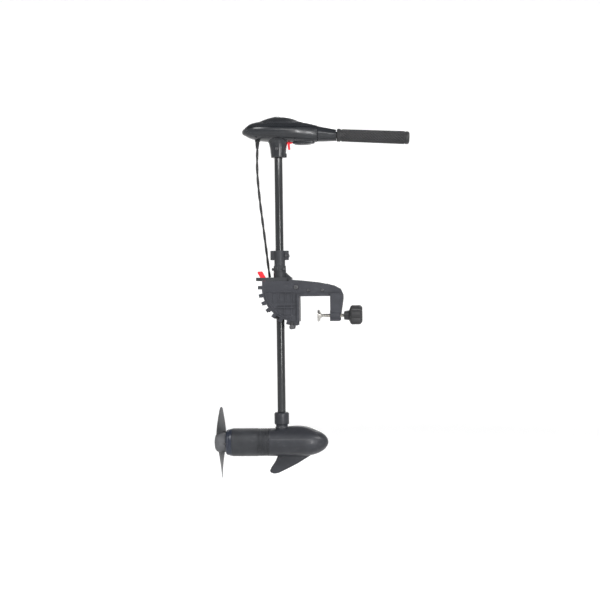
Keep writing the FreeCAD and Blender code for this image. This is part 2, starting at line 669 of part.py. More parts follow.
def half_egg(long, radius, x):
    """Half an ellipsoid that points along +X from a flat face on the pod's axis."""
    egg = add("Part::Ellipsoid", Radius1=long, Radius2=radius, Radius3=radius)
    egg.Angle1 = 0
    return place(egg, x, 0, d.pod_z, UPRIGHT["x"])


def nose_housing():
    at_joint = d.shaft_x + d.joint_at
    mid = d.shaft_x + d.nose_mid_at
    long = d.nose_mid_at - d.joint_at
    nose = half_egg(d.nose_long, d.pod_radius, mid)
    barrel = rod(d.pod_radius, long, at_joint, 0, d.pod_z, "x")
    socket = fuse(rod(d.socket_radius, 37, d.shaft_x, 0, d.socket_foot),
                  cone(d.socket_radius, d.socket_radius - 5, 6, d.shaft_x, 0, -400),
                  rod(16, 30, d.shaft_x, 0, d.socket_foot - 28))
    fairing = add("Part::Ellipsoid", Radius1=20, Radius2=66, Radius3=15)
    fairing.Angle1 = -90
    place(fairing, d.shaft_x + 56, 0, -458)
    skeg = slab("XZ_Plane", skeg_outline(), -4, 8)
    hollow = half_egg(d.nose_long - 12, d.pod_radius - 5, mid)
    inner = rod(d.pod_radius - 5, long - 10, at_joint + 10, 0, d.pod_z, "x")
    chamber = fuse(hollow, inner)
    bores = [rod(d.shaft_radius, 60, d.shaft_x, 0, d.shaft_foot), rod(11, 60, d.shaft_x, 0, -470),
             rod(11, 8, at_joint - 1, 0, d.pod_z, "x"), rod(6, 20, at_joint - 1, 0, d.pod_z, "x")]
    for side in (-1, 1):
        bores.append(rod(2.5, 12, at_joint - 1, d.bolt_ring * side, d.pod_z, "x"))
    solid = fuse(barrel, nose, socket, fairing, skeg)
    node("nose_housing", cut(cut(solid, chamber), *bores))


def motor_shells():
    start = d.shaft_x + d.can_back_at
    end = d.shaft_x + d.joint_at
    band = d.shaft_x + d.band_at
    outer = rod(d.pod_radius, end - start - 0.8, start, 0, d.pod_z, "x")
    grooves = [cut(rod(60, 2, band + 3 + 6 * count, 0, d.pod_z, "x"),
                   rod(d.pod_radius - 0.8, 2, band + 3 + 6 * count, 0, d.pod_z, "x"))
               for count in range(6)]
    bore = rod(d.pod_radius - d.pod_wall, end - start, start, 0, d.pod_z, "x")
    node("motor_can", cut(outer, bore, *grooves))
    back = d.shaft_x + d.cap_back_at
    cap = turned([(0, 16), (0, 40), (4, 43), (19, 46.5), (21, 46.5), (21, 43.8), (28, 43.8),
                  (28, 40), (21, 40), (12, 30), (12, 16)], back, 0, d.pod_z)
    bolts = [rod(2.5, 60, back, d.bolt_ring * side, d.pod_z, "x") for side in (-1, 1)]
    node("tail_cap", cut(cap, *bolts))
    through = []
    for side in (-1, 1):
        shank = rod(2.5, d.joint_at - d.cap_back_at + 8, back, d.bolt_ring * side, d.pod_z, "x")
        head = rod(4, 3, back - 3, d.bolt_ring * side, d.pod_z, "x")
        through.append(fuse(shank, head))
    node("through_bolts", group(*through))
    node("shaft_seal", tube(16, d.spin_radius + 0.1, 5, back, 0, d.pod_z, "x"))
    fit = d.spin_radius + d.running_gap
    rear = tube(16, fit, 6, back + 5.5, 0, d.pod_z, "x")
    front = tube(11, fit, 7, end, 0, d.pod_z, "x")
    node("bearings", group(rear, front))


def motor_inside():
    mid = d.shaft_x - 145
    magnets = []
    inner = d.magnet_inner
    for turn in (20, 200):
        arc = add("Part::Cylinder", Radius=d.pod_radius - d.pod_wall, Height=66, Angle=140)
        spin = UPRIGHT["x"] * Rotation(Vector(0, 0, 1), turn - 90)
        place(arc, mid - 3, 0, d.pod_z, spin)
        magnets.append(cut(arc, rod(inner, 70, mid - 5, 0, d.pod_z, "x")))
    node("magnets", group(*magnets))
    core = rod(d.armature_radius, 60, mid, 0, d.pod_z, "x")
    slots = []
    for count in range(12):
        a = 2 * math.pi * count / 12
        slots.append(rod(4.4, 60, mid, 31 * math.cos(a), d.pod_z + 31 * math.sin(a), "x"))
    bore = rod(d.spin_radius, 60, mid, 0, d.pod_z, "x")
    node("armature", cut(core, bore, *slots))
    coils = [rod(4.1, 60, mid, 31 * math.cos(2 * math.pi * count / 12),
                 d.pod_z + 31 * math.sin(2 * math.pi * count / 12), "x") for count in range(12)]
    ends = [tube(35, 10, 7, x, 0, d.pod_z, "x") for x in (mid - 7, mid + 60)]
    node("windings", fuse(*coils, *ends))
    node("commutator", tube(14, d.spin_radius, 12, mid + 70, 0, d.pod_z, "x"))
    back = d.shaft_x + d.hub_back_at + 9
    node("motor_shaft", cut(rod(d.spin_radius, d.shaft_x + d.joint_at + 8 - back, back, 0,
                                d.pod_z, "x"),
                            rod(2, 30, d.shaft_x - 200, 0, d.pod_z - 15)))
    node("shear_pin", rod(2, 28, d.shaft_x - 200, 0, d.pod_z - 14))
    plate = cut(tube(43.5, 15, 3, mid + 84, 0, d.pod_z, "x"),
                rod(3.2, 10, mid + 80, -41, d.pod_z, "x"), rod(3.2, 10, mid + 80, 41, d.pod_z, "x"))
    node("brush_plate", plate)
    brushes = [box(mid + 71, -4, d.pod_z + low, 10, 8, 14) for low in (14.5, -28.5)]
    node("brushes", group(*brushes))


def blade(turn):
    """A twisted blade: flat sections at three radii, each at the angle of its pitch."""
    sections = []
    hub = d.shaft_x.value - 208
    for radius, share in ((24, 0.72), (60, 1.0), (98, 0.82), (d.blade_radius.value - 1, 0.2)):
        angle = math.atan(d.blade_pitch.value / (2 * math.pi * max(radius, 40)))
        half = d.blade_chord.value * share / 2
        along = Vector(math.sin(angle), math.cos(angle), 0)
        flat = Vector(math.cos(angle), -math.sin(angle), 0)
        thick = 3.2 - radius / 60
        spots = [along * half, flat * thick, along * -half, flat * -thick]
        corners = [Vector(s.x, s.y, radius) for s in spots]
        corners.append(corners[0])
        sections.append(Part.makePolygon(corners))
    made = doc.addObject("Part::Feature", "blade")
    made.Shape = Part.makeLoft(sections, True, True)
    return place(made, hub, 0, d.pod_z, Rotation(Vector(1, 0, 0), turn))


def propeller():
    back = d.shaft_x + d.hub_back_at
    long = d.cap_back_at - d.hub_back_at - 1
    hub = turned([(0, 7.5), (0, 15), (3, 25), (9, 31), (16, d.hub_radius), (long, d.hub_radius - 1),
                  (long, 7), (16, 7), (16, 7.5)], back, 0, d.pod_z)
    pin = rod(2.1, 28.4, d.shaft_x - 200, 0, d.pod_z - 14.2)
    core = rod(7.2, 60, back, 0, d.pod_z, "x")
    inner = tube(12, d.spin_radius, long - 18, back + 18, 0, d.pod_z, "x")
    node("propeller", cut(fuse(cut(fuse(hub, blade(0), blade(180)), core), inner), pin))
    node("prop_nut", tube(7, d.spin_radius, 9, back + 8, 0, d.pod_z, "x"))


def shaft():
    long = d.shaft_top - d.shaft_foot
    wall = tube(d.shaft_radius, d.shaft_bore, long, d.shaft_x, 0, d.shaft_foot)
    bolt = rod(3, 60, d.shaft_x - 3, -30, d.head_bolt_z, "y")
    node("shaft_tube", cut(wall, bolt))
    wires = []
    for x, y in ((3, 7), (7.2, 2.5), (7.2, -2.5), (3, -7)):
        wires.append(rod(2.2, d.collar_top + 442, d.shaft_x + x, y, -442))
    node("motor_wires", group(*wires))


def check():
    """Stop on any failed object and on any sub-part without a sound shape."""
    bad = [o.Label for o in doc.Objects if "Invalid" in o.State or "Error" in o.State]
    for name, thing in nodes.items():
        if thing.Shape.isNull() or not thing.Shape.isValid() or not thing.Shape.Solids:
            bad.append(name)
    if bad:
        raise SystemExit("failed: " + ", ".join(bad))


bracket()
clamps()
swivel()
tilt_lever()
lock_yoke()
collars()
lead_holder()
battery_lead()
control_head()
tiller()
trigger()
nose_housing()
motor_shells()
motor_inside()
propeller()
shaft()
doc.recompute()
check()
os.makedirs("parts", exist_ok=True)
for name, thing in nodes.items():
    thing.Shape.exportStep(f"parts/{name}.step")
print(len(nodes), "sub-parts written")
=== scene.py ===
import json
import math

import bmesh
import bpy
import numpy as np
from mathutils import Matrix, Vector


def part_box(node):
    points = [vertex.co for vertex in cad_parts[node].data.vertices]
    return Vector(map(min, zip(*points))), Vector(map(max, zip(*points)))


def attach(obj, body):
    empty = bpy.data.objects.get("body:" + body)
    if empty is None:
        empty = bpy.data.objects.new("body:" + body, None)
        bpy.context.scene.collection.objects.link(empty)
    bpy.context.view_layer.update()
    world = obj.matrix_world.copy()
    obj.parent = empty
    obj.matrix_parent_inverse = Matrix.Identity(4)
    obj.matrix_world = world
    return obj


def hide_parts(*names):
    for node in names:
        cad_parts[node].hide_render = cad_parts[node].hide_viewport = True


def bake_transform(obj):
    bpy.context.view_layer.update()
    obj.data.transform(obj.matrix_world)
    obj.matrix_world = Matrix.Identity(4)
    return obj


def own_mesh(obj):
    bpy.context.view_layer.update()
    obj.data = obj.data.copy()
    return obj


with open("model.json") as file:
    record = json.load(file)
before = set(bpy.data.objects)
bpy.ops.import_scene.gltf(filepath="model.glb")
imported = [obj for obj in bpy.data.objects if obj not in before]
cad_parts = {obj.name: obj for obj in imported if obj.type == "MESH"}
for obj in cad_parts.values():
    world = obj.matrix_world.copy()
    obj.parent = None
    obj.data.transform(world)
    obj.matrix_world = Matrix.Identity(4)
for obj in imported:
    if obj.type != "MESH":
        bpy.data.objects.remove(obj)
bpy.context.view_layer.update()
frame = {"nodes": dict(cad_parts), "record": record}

# Camera, soft light and floor ----------------------------------------------------------------
# A long lens looks at the side of the motor from just forward of square, a little rolled. The
# floor is a pale sheet that sweeps up all round. Three soft boxes stand above it. A tall
# strip lamp draws the bright line down the shaft, and a long bar the one along the head.

MM = 0.001
AIM = Vector((-0.0165, 0, -0.0125))
CAMERA_AWAY = 3.97
CAMERA_TURN, CAMERA_RISE, CAMERA_ROLL = np.radians((3.75, 0.5, -0.75))
LENS, SENSOR = 70, 36
FLOOR_LEVEL = -1.12
FLOOR_FLAT, FLOOR_EDGE, SWEEP_TOP = 5.6, 9.0, 6.5

toward = Vector((math.sin(CAMERA_TURN) * math.cos(CAMERA_RISE),
                 -math.cos(CAMERA_TURN) * math.cos(CAMERA_RISE), math.sin(CAMERA_RISE)))
camera = bpy.data.objects.new("camera", bpy.data.cameras.new("camera"))
camera.data.lens = LENS
camera.data.sensor_width = SENSOR
camera.location = AIM + toward * CAMERA_AWAY
facing = (-toward).to_track_quat("-Z", "Y").to_matrix()
camera.rotation_euler = (facing @ Matrix.Rotation(CAMERA_ROLL, 3, "Z")).to_euler()
bpy.context.scene.collection.objects.link(camera)
bpy.context.scene.camera = camera
bpy.context.scene.view_settings.view_transform = "Standard"


def soft_box(name, place, wide, tall, power):
    """A flat lamp that faces the middle of the object."""
    lamp = bpy.data.objects.new(name, bpy.data.lights.new(name, "AREA"))
    lamp.data.shape = "RECTANGLE"
    lamp.data.size = wide
    lamp.data.size_y = tall
    lamp.data.energy = power
    lamp.location = place
    lamp.rotation_euler = (AIM - Vector(place)).to_track_quat("-Z", "Y").to_euler()
    bpy.context.scene.collection.objects.link(lamp)


soft_box("lamp_over_stern", (-1.9, -2.3, 2.6), 1.5, 1.5, 110)
soft_box("lamp_over_bow", (2.4, -1.6, 2.0), 1.3, 1.3, 80)
soft_box("lamp_behind", (0.4, 2.8, 2.4), 1.6, 1.6, 60)
soft_box("lamp_strip", (1.95, -4.4, 0), 0.4, 2.4, 150)
soft_box("lamp_bar", (0.6, -4.5, 1.9), 3.2, 0.3, 75)

world = bpy.data.worlds.new("room")
world.use_nodes = True
world.node_tree.nodes["Background"].inputs["Color"].default_value = (1, 1, 1, 1)
world.node_tree.nodes["Background"].inputs["Strength"].default_value = 0.2
bpy.context.scene.world = world


def full_turn(spots):
    """Angles spread evenly over one whole turn."""
    return np.linspace(0, 2 * np.pi, spots, endpoint=False)


def rings_to_faces(grid, wrapped):
    """Quads between neighbouring rings, and a face over each end ring unless the rings wrap."""
    rings, spots = grid.shape[:2]
    index = np.arange(rings * spots).reshape(rings, spots)
    start, end = (index, np.roll(index, -1, axis=0)) if wrapped else (index[:-1], index[1:])
    quads = np.stack((start, np.roll(start, -1, axis=1), np.roll(end, -1, axis=1), end), -1)
    quads = quads.reshape(-1, 4)
    points = grid.reshape(-1, 3)
    a, b, c, e = (points[quads[:, k]] for k in range(4))
    bulk = (np.cross(a, b) * c).sum() + (np.cross(a, c) * e).sum()
    faces = quads.tolist()
    if not wrapped:
        for ring in (index[0, ::-1], index[-1]):
            fan = points[ring]
            bulk += (np.cross(fan[:1], fan[1:-1]) * fan[2:]).sum()
            faces.append(ring.tolist())
    return faces if bulk > 0 else [face[::-1] for face in faces]


def placed(name, mesh, material):
    """A smooth piece of one material, put in the scene."""
    mesh.polygons.foreach_set("use_smooth", np.ones(len(mesh.polygons), dtype=bool))
    mesh.materials.append(material)
    piece = bpy.data.objects.new(name, mesh)
    bpy.context.scene.collection.objects.link(piece)
    return piece


def solid(name, grids, material, wrapped=False, crease=34):
    """One piece from closed shells, each a grid of rings in millimetres, faces outwards."""
    points, faces = [], []
    for grid in grids:
        shift = sum(len(p) for p in points)
        closed = wrapped if isinstance(wrapped, bool) else wrapped[len(points)]
        faces += [[shift + i for i in face] for face in rings_to_faces(grid, closed)]
        points.append(grid.reshape(-1, 3))
    mesh = bpy.data.meshes.new(name)
    mesh.from_pydata((np.concatenate(points) * MM).tolist(), [], faces)
    tidy = bmesh.new()
    tidy.from_mesh(mesh)
    bmesh.ops.remove_doubles(tidy, verts=tidy.verts, dist=1e-6)
    tidy.to_mesh(mesh)
    tidy.free()
    piece = placed(name, mesh, material)
    mesh.set_sharp_from_angle(angle=math.radians(crease))
    return piece


def polar(origin, direction, along, radius, spots=72, start=0.0):
    """Rings about an axis: ring i is at along[i] from origin, its radius may vary round it."""
    axis = np.array(direction, float) / np.linalg.norm(direction)
    side = np.cross(axis, (0, 1, 0) if abs(axis[1]) < 0.9 else (0, 0, 1))
    side /= np.linalg.norm(side)
    angle = start + full_turn(spots)
    spoke = np.cos(angle)[:, None] * side + np.sin(angle)[:, None] * np.cross(axis, side)
    radius = np.broadcast_to(radius, (len(along), spots))
    return np.array(origin) + np.asarray(along)[:, None, None] * axis + radius[..., None] * spoke


def finish(name, colour, roughness, grain=0.9, depth=0.2, patchy=0.3, metallic=0.0, coat=0.0,
           stretch=(1, 1, 1), scuffs=0.12, shine=0.22):
    """Broad noise shades the colour and gloss, fine grain stands up as bump, scuffs are paler.
    grain is its size in millimetres; a stretch above 1 draws it out into brushed lines."""
    material = bpy.data.materials.new(name)
    material.use_nodes = True
    nodes, links = material.node_tree.nodes, material.node_tree.links
    shader = nodes["Principled BSDF"]
    shader.inputs["Metallic"].default_value = metallic
    shader.inputs["Coat Weight"].default_value = coat
    shader.inputs["Specular IOR Level"].default_value = shine
    shader.inputs["Coat Roughness"].default_value = 0.12

    def noise(size, detail, drawn=(1, 1, 1)):
        spot = nodes.new("ShaderNodeTexCoord")
        turn = nodes.new("ShaderNodeMapping")
        turn.inputs["Scale"].default_value = [1 / s for s in drawn]
        made = nodes.new("ShaderNodeTexNoise")
        made.inputs["Scale"].default_value = 1 / (size * MM)
        made.inputs["Detail"].default_value = detail
        links.new(spot.outputs["Object"], turn.inputs["Vector"])
        links.new(turn.outputs["Vector"], made.inputs["Vector"])
        return made.outputs["Fac"]

    def mapped(source, low, high, floor=0.3, top=0.7):
        made = nodes.new("ShaderNodeMapRange")
        for socket, value in zip(("From Min", "From Max", "To Min", "To Max"),
                                 (floor, top, low, high)):
            made.inputs[socket].default_value = value
        links.new(source, made.inputs["Value"])
        return made.outputs["Result"]

    def blended(amount, one, two):
        made = nodes.new("ShaderNodeMix")
        made.data_type = "RGBA"
        links.new(amount, made.inputs["Factor"])
        for socket, shade in ((made.inputs["A"], one), (made.inputs["B"], two)):
            if isinstance(shade, bpy.types.NodeSocket):
                links.new(shade, socket)
            else:
                socket.default_value = (*shade, 1)
        return made.outputs["Result"]

    fine = noise(grain, 3, stretch)
    broad = noise(45, 4, stretch)
    deep = [c * (1 - patchy * 0.6) for c in colour]
    pale = [min(1, c * (1 + patchy * 0.6)) for c in colour]
    base = blended(mapped(broad, 0, 1), deep, pale)
    worn = [min(1, c * 1.5 + 0.035) for c in colour]
    marks = mapped(noise(7, 6, (3, 1, 1)), 0, scuffs, 0.6, 0.74)
    links.new(blended(marks, base, worn), shader.inputs["Base Color"])
    links.new(mapped(fine, roughness * 0.82, min(1, roughness * 1.2)), shader.inputs["Roughness"])
    bump = nodes.new("ShaderNodeBump")
    bump.inputs["Strength"].default_value = depth
    bump.inputs["Distance"].default_value = grain * 0.35 * MM
    links.new(fine, bump.inputs["Height"])
    links.new(bump.outputs["Normal"], shader.inputs["Normal"])
    return material


floor_paint = finish("floor_paint", (0.72, 0.72, 0.72), 0.85, grain=30, depth=0.02, patchy=0.01,
                     scuffs=0.0)
floor_shader = floor_paint.node_tree.nodes["Principled BSDF"]
floor_shader.inputs["Emission Color"].default_value = (1, 1, 1, 1)
floor_shader.inputs["Emission Strength"].default_value = 0.45
reach = np.linspace(0.01, FLOOR_EDGE, 60)
lift = np.clip((reach - FLOOR_FLAT) / (FLOOR_EDGE - FLOOR_FLAT), 0, 1) ** 2 * SWEEP_TOP
top_side = np.stack((FLOOR_LEVEL + lift, reach), -1)
sweep = np.concatenate((top_side, top_side[::-1] - (0.05, 0)))
floor = solid("floor", [polar((0, 0, 0), (0, 0, 1), sweep[:, 0] / MM, sweep[:, 1:] / MM)],
              floor_paint)

# Battery lead --------------------------------------------------------------------------------
# A flexible twin lead in one black PVC sheath, twisted a little. It leaves the head through a
# tapered rubber gland, passes the collar and ends in a strapped hank with two ring lugs.

LEAD_WIDE = 8
TWIST_EVERY = 46
UPPER_ROUTE = [(-154, 0, 529), (-157, 1, 478), (-157.5, 4, 424), (-154, 9, 368), (-149, 16, 312),
               (-143, 23, 258), (-137.5, 31, 205)]
LOWER_ROUTE = [(-137.45, 31.08, 204.5), (-132.5, 38.3, 156.8), (-128, 46, 108), (-123, 51, 64),
               (-117.5, 54.5, 24)]
TAIL_ROUTE = [(-34.5, 66, -30), (-30.5, 69, -17), (-30, 71.5, -3)]
HANK_CENTRE = (-72, 59, -10)
HANK_MIDDLE = 40
POINTS_PER_TURN = 20
sheath = finish("lead_sheath", (0.012, 0.012, 0.013), 0.42, grain=0.6, depth=0.25, scuffs=0.08)


def hank_turns():
    """Turns wound two by two: out, in, back and out again, each slot a lead's width apart."""
    half = LEAD_WIDE / 2
    turn = np.arange(0.5, 3.375 * POINTS_PER_TURN) / POINTS_PER_TURN
    slots = np.array([0, 0.83, 1, 1.83, 2, 2.83, 3, 4])
    out = np.interp(turn, slots, [1, 1, -1, -1, -1, -1, 1, 1]) * half + HANK_MIDDLE
    across = np.interp(turn, slots, [-1, -1, -1, -1, 1, 1, 1, 1]) * half
    angle = np.pi + turn * 2 * np.pi
    x, y, z = HANK_CENTRE
    return np.stack((x + out * np.cos(angle), y + across, z + out * np.sin(angle)), -1).tolist()


def centreline(name, route):
    """The smooth line of a route, as the points of a bare NURBS curve."""
    curve = bpy.data.curves.new(name, "CURVE")
    curve.dimensions = "3D"
    curve.resolution_u = 6
    spline = curve.splines.new("NURBS")
    spline.points.add(len(route) - 1)
    for point, spot in zip(spline.points, route):
        point.co = (*(Vector(spot) * MM), 1)
    spline.order_u = 3
    spline.use_endpoint_u = True
    bare = bpy.data.objects.new(name, curve)
    mesh = bpy.data.meshes.new_from_object(bare)
    line = np.empty(len(mesh.vertices) * 3)
    mesh.vertices.foreach_get("co", line)
    bpy.data.objects.remove(bare)
    return line.reshape(-1, 3)


def twin_tube(line, spots=20):
    """A rounded twin section carried along a line; its long side turns as it goes."""
    ahead = np.gradient(line, axis=0)
    ahead /= np.linalg.norm(ahead, axis=1, keepdims=True)
    side = np.cross(ahead, (0, 1, 0))
    side /= np.linalg.norm(side, axis=1, keepdims=True)
    other = np.cross(ahead, side)
    far = np.concatenate(([0], np.cumsum(np.linalg.norm(np.diff(line, axis=0), axis=1))))
    angle = full_turn(spots)
    wave = np.cos(2 * (angle[None] - np.pi * far[:, None] / TWIST_EVERY))
    radius = (LEAD_WIDE / 2 * (1 + 0.2 * wave - 0.04 * wave ** 2))[..., None]
    spoke = np.cos(angle)[:, None] * side[:, None] + np.sin(angle)[:, None] * other[:, None]
    return line[:, None] + radius * spoke


upper_line = centreline("lead_upper_line", UPPER_ROUTE)
lower_line = centreline("lead_lower_line", LOWER_ROUTE + hank_turns() + TAIL_ROUTE)
lead_upper = solid("battery_lead_upper", [twin_tube(upper_line / MM)], sheath)
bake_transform(lead_upper)
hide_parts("lead_upper")
lead_rest = solid("battery_lead_hank", [twin_tube(lower_line / MM)], sheath)
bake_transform(lead_rest)
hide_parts("lead_lower", "lead_hank", "lead_tail")


def eased(corners, cut, steps=4):
    """A profile whose inner corners are rounded off: cut is how far before each one."""
    corners = np.array(corners, float)
    made = [corners[0]]
    for before, corner, after in zip(corners, corners[1:], corners[2:]):
        reach = [min(cut, np.linalg.norm(end - corner) * 0.45) for end in (before, after)]
        start = corner + (before - corner) / np.linalg.norm(before - corner) * reach[0]
        end = corner + (after - corner) / np.linalg.norm(after - corner) * reach[1]
        for t in np.linspace(0, 1, steps):
            made.append(start * (1 - t) ** 2 + corner * 2 * t * (1 - t) + end * t ** 2)
    made.append(corners[-1])
    return np.array(made)


def turned(profile, origin, direction, spots=72):
    """A profile of (along, radius) turned about an axis through origin."""
    return polar(origin, direction, profile[:, 0], profile[:, 1:], spots)


def belongs(piece, body, slot, *nodes):
    """Puts a piece on the body it rides on and hides the solids it stands for. slot is not used."""
    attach(piece, body)
    if nodes:
        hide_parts(*nodes)


rubber = finish("gland_rubber", (0.014, 0.014, 0.015), 0.6, grain=0.5, depth=0.3)
GLAND_X, GLAND_TOP, GLAND_LONG = -154, 541, 36
gland_profile = [(0, 0.5), (0, 8.3), (9, 8.3), (9.5, 9.4), (11.5, 9.4), (12, 7.8)]
for rib in range(5):
    at = 14 + rib * 4
    gland_profile += [(at, 7.6 - rib * 0.5), (at + 0.4, 6.6 - rib * 0.4), (at + 2, 6.6 - rib * 0.4),
                      (at + 2.4, 7.4 - rib * 0.5)]
gland_profile += [(GLAND_LONG, 5.3), (GLAND_LONG, 0.5)]
gland = solid("lead_gland_sleeve", [turned(eased(gland_profile, 0.6), (GLAND_X, 0, GLAND_TOP),
                                           (-0.06, 0.02, -1), 40)], rubber)
belongs(gland, "mast", "seal_rubber", "lead_gland")

# Ring lugs and hank strap --------------------------------------------------------------------
# Two crimped brass lugs, one for each battery post, and a woven nylon strap that is looped over
# the steel hook beside the top plate.

LUG_X, LUG_Y, LUG_Z = -30, 71.5, -3
brass = finish("lug_brass", (0.62, 0.44, 0.17), 0.32, grain=0.4, depth=0.12, metallic=1.0)


def crimp_barrel(x):
    """A short barrel squeezed flat in the middle, as a crimping tool leaves it."""
    along = np.linspace(0, 14, 29)
    angle = full_turn(28)
    squeeze = 1 - 0.28 * np.exp(-((along - 7) / 2.6) ** 2)[:, None] * np.sin(angle) ** 2
    ends = np.minimum(1, np.minimum(along, 14 - along) * 0.2 + 0.85)[:, None]
    return polar((x, LUG_Y, LUG_Z), (0, 0, 1), along, 3.15 * squeeze * ends, 28)


def lug_ring(x):
    """A flat ring with a round hole: its rectangular section goes round the hole."""
    section = eased([(0.8, 2.7), (0.8, 5), (-0.8, 5), (-0.8, 2.7), (0.8, 2.7)], 0.3)[:-1]
    return turned(section, (x, LUG_Y, LUG_Z + 20), (0, 1, 0), 40)


def pillow(centre, half, power=0.35, around=32, over=17):
    """A rounded block: a ball whose sines are raised to a small power, which squares it off."""
    def bent(values):
        return np.sign(values) * np.abs(values) ** power
    u = full_turn(around)[None]
    v = np.linspace(-np.pi / 2, np.pi / 2, over)[1:-1, None]
    ball = np.stack((bent(np.cos(v)) * bent(np.cos(u)), bent(np.cos(v)) * bent(np.sin(u)),
                     bent(np.sin(v)) * np.ones_like(u)), -1)
    return np.array(centre) + ball * np.array(half)


lug_shells = []
for shift in (-5.2, 5.2):
    lug_shells += [crimp_barrel(LUG_X + shift), lug_ring(LUG_X + shift),
                   pillow((LUG_X + shift, LUG_Y, LUG_Z + 13.5), (2.4, 0.8, 3.2))]
lugs = solid("lead_lugs_pair", lug_shells, brass, wrapped=[False, True, False] * 2)
belongs(lugs, "swivel", "brass", "lead_lugs")

weave = finish("strap_weave", (0.02, 0.02, 0.022), 0.8, grain=1.1, depth=0.9, stretch=(1, 1, 0.4))
STRAP_X, STRAP_HALF, STRAP_THICK = -72, 4.5, 1.4
strap_low, strap_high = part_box("lead_strap")
loop_y = ((strap_low.y + strap_high.y) / 2) / MM
loop_z = ((strap_low.z + strap_high.z) / 2) / MM
half_y = (strap_high.y - strap_low.y) / 2 / MM - 0.3
half_z = (strap_high.z - strap_low.z) / 2 / MM - 0.3
sway = full_turn(96)[:, None]
edge = np.array([(-1, -1), (-0.96, 1), (0.96, 1), (1, -1)])
squared = 0.42
in_y = np.sign(np.cos(sway)) * np.abs(np.cos(sway)) ** squared
in_z = np.sign(np.sin(sway)) * np.abs(np.sin(sway)) ** squared
grow = np.where(edge[:, 1] > 0, 0.0, -STRAP_THICK)[None]
loop = np.stack((STRAP_X + np.broadcast_to(edge[:, 0] * STRAP_HALF, (96, 4)),
                 loop_y + in_y * (half_y + grow), loop_z + in_z * (half_z + grow)), -1)
strap = solid("hank_strap", [loop], weave, wrapped=True)
belongs(strap, "swivel", "strap", "lead_strap")

# Bracket halves ------------------------------------------------------------------------------
# Two mirrored mouldings of glass-filled nylon: a toothed fan with a sunk, ribbed panel, a saddle
# over the transom and two arms for the clamp screws. Low ribs stand on the cheeks.

bracket_plastic = finish("bracket_plastic", (0.018, 0.019, 0.0235), 0.5, grain=0.7, depth=0.35,
                         patchy=0.3, scuffs=0.2)


def softened(node, name, width, material, body, steps=2):
    """A moulded piece: the flat faces of its solid made whole, then its edges rounded."""
    shape = bmesh.new()
    shape.from_mesh(frame["nodes"][node].data)
    bmesh.ops.remove_doubles(shape, verts=shape.verts, dist=1e-6)
    bmesh.ops.dissolve_limit(shape, angle_limit=math.radians(0.6), verts=shape.verts,
                             edges=shape.edges)
    mesh = bpy.data.meshes.new(name)
    shape.to_mesh(mesh)
    shape.free()
    piece = placed(name, mesh, material)
    round_off = piece.modifiers.new("round_off", "BEVEL")
    round_off.width = width * MM
    round_off.segments = steps
    round_off.limit_method = "ANGLE"
    round_off.angle_limit = math.radians(32)
    even = piece.modifiers.new("even", "WEIGHTED_NORMAL")
    even.keep_sharp = True
    even.weight = 90
    slots = {part["node"]: part["material_slot"] for part in frame["record"]["subparts"]}
    belongs(piece, body, slots[node], node)
    return piece


softened("bracket_half_left", "bracket_half_port", 1.0, bracket_plastic, "bracket")
softened("bracket_half_right", "bracket_half_starboard", 1.0, bracket_plastic, "bracket")
PIVOT_X, PIVOT_Z, CHEEK_Y = -27, 31, 38
RIM_RADIUS, RIM_WIDE, RIB_PROUD = 107, 5.6, 1.9


def rim_rib(side):
    """An arc round the pivot with a low rounded section that narrows away at both ends."""
    angle = np.radians(np.linspace(187, 262, 60))
    round_it = full_turn(16)
    taper = np.sqrt(np.clip(np.sin(np.linspace(0.02, np.pi - 0.02, 60)) * 6, 0, 1))[:, None]
    radius = RIM_RADIUS + np.cos(round_it) * RIM_WIDE / 2 * taper
    out = CHEEK_Y + np.sin(round_it) * RIB_PROUD * taper
    return np.stack((PIVOT_X + radius * np.cos(angle)[:, None], out * side,
                     PIVOT_Z + radius * np.sin(angle)[:, None]), -1)


cheek_ribs = []
for side in (-1, 1):
    cheek_ribs += [rim_rib(side), pillow((-79, CHEEK_Y * side, 17), (54, RIB_PROUD, 2.6), 0.5),
                   pillow((-72, CHEEK_Y * side, -37), (40, RIB_PROUD, 2.6), 0.5)]
cheek_ribs = solid("bracket_cheek_ribs", cheek_ribs, bracket_plastic)
belongs(cheek_ribs, "bracket", "bracket_plastic")

# Bracket fasteners ---------------------------------------------------------------------------
# A blackened pivot bolt with a stainless nut, on which the swivel tilts, and two blackened
# through bolts that hold the halves together.

steel = finish("stainless_steel", (0.36, 0.35, 0.33), 0.3, grain=0.35, depth=0.1, patchy=0.12,
               metallic=1.0, scuffs=0.06)
black_steel = finish("blackened_steel", (0.055, 0.055, 0.058), 0.4, grain=0.4, depth=0.1,
                     metallic=0.7)


def screw_head(place, direction, radius, height, socket):
    """A domed head with a six-sided socket: the socket's rings follow a hexagon."""
    spots = 48
    angle = full_turn(spots)
    six = socket * np.cos(np.pi / 6) / np.cos((angle + np.pi / 6) % (np.pi / 3) - np.pi / 6)
    rise = np.linspace(0, 1, 7)
    dome = radius * np.sqrt(1 - (rise[:, None] * 0.75) ** 2) * np.ones(spots)
    along = np.concatenate(([0], height * (0.25 + 0.75 * rise), [height, height * 0.4]))
    radii = np.concatenate((np.full((1, spots), radius * 0.98), dome, [six], [six * 0.98]))
    return polar(place, direction, along, radii, spots)


def shank(place, direction, radius, length):
    """A plain round shank with a short taper at each end."""
    profile = np.array([(0, radius * 0.85), (radius * 0.2, radius), (length - radius * 0.3, radius),
                        (length, radius * 0.75)])
    return turned(profile, place, direction, 40)


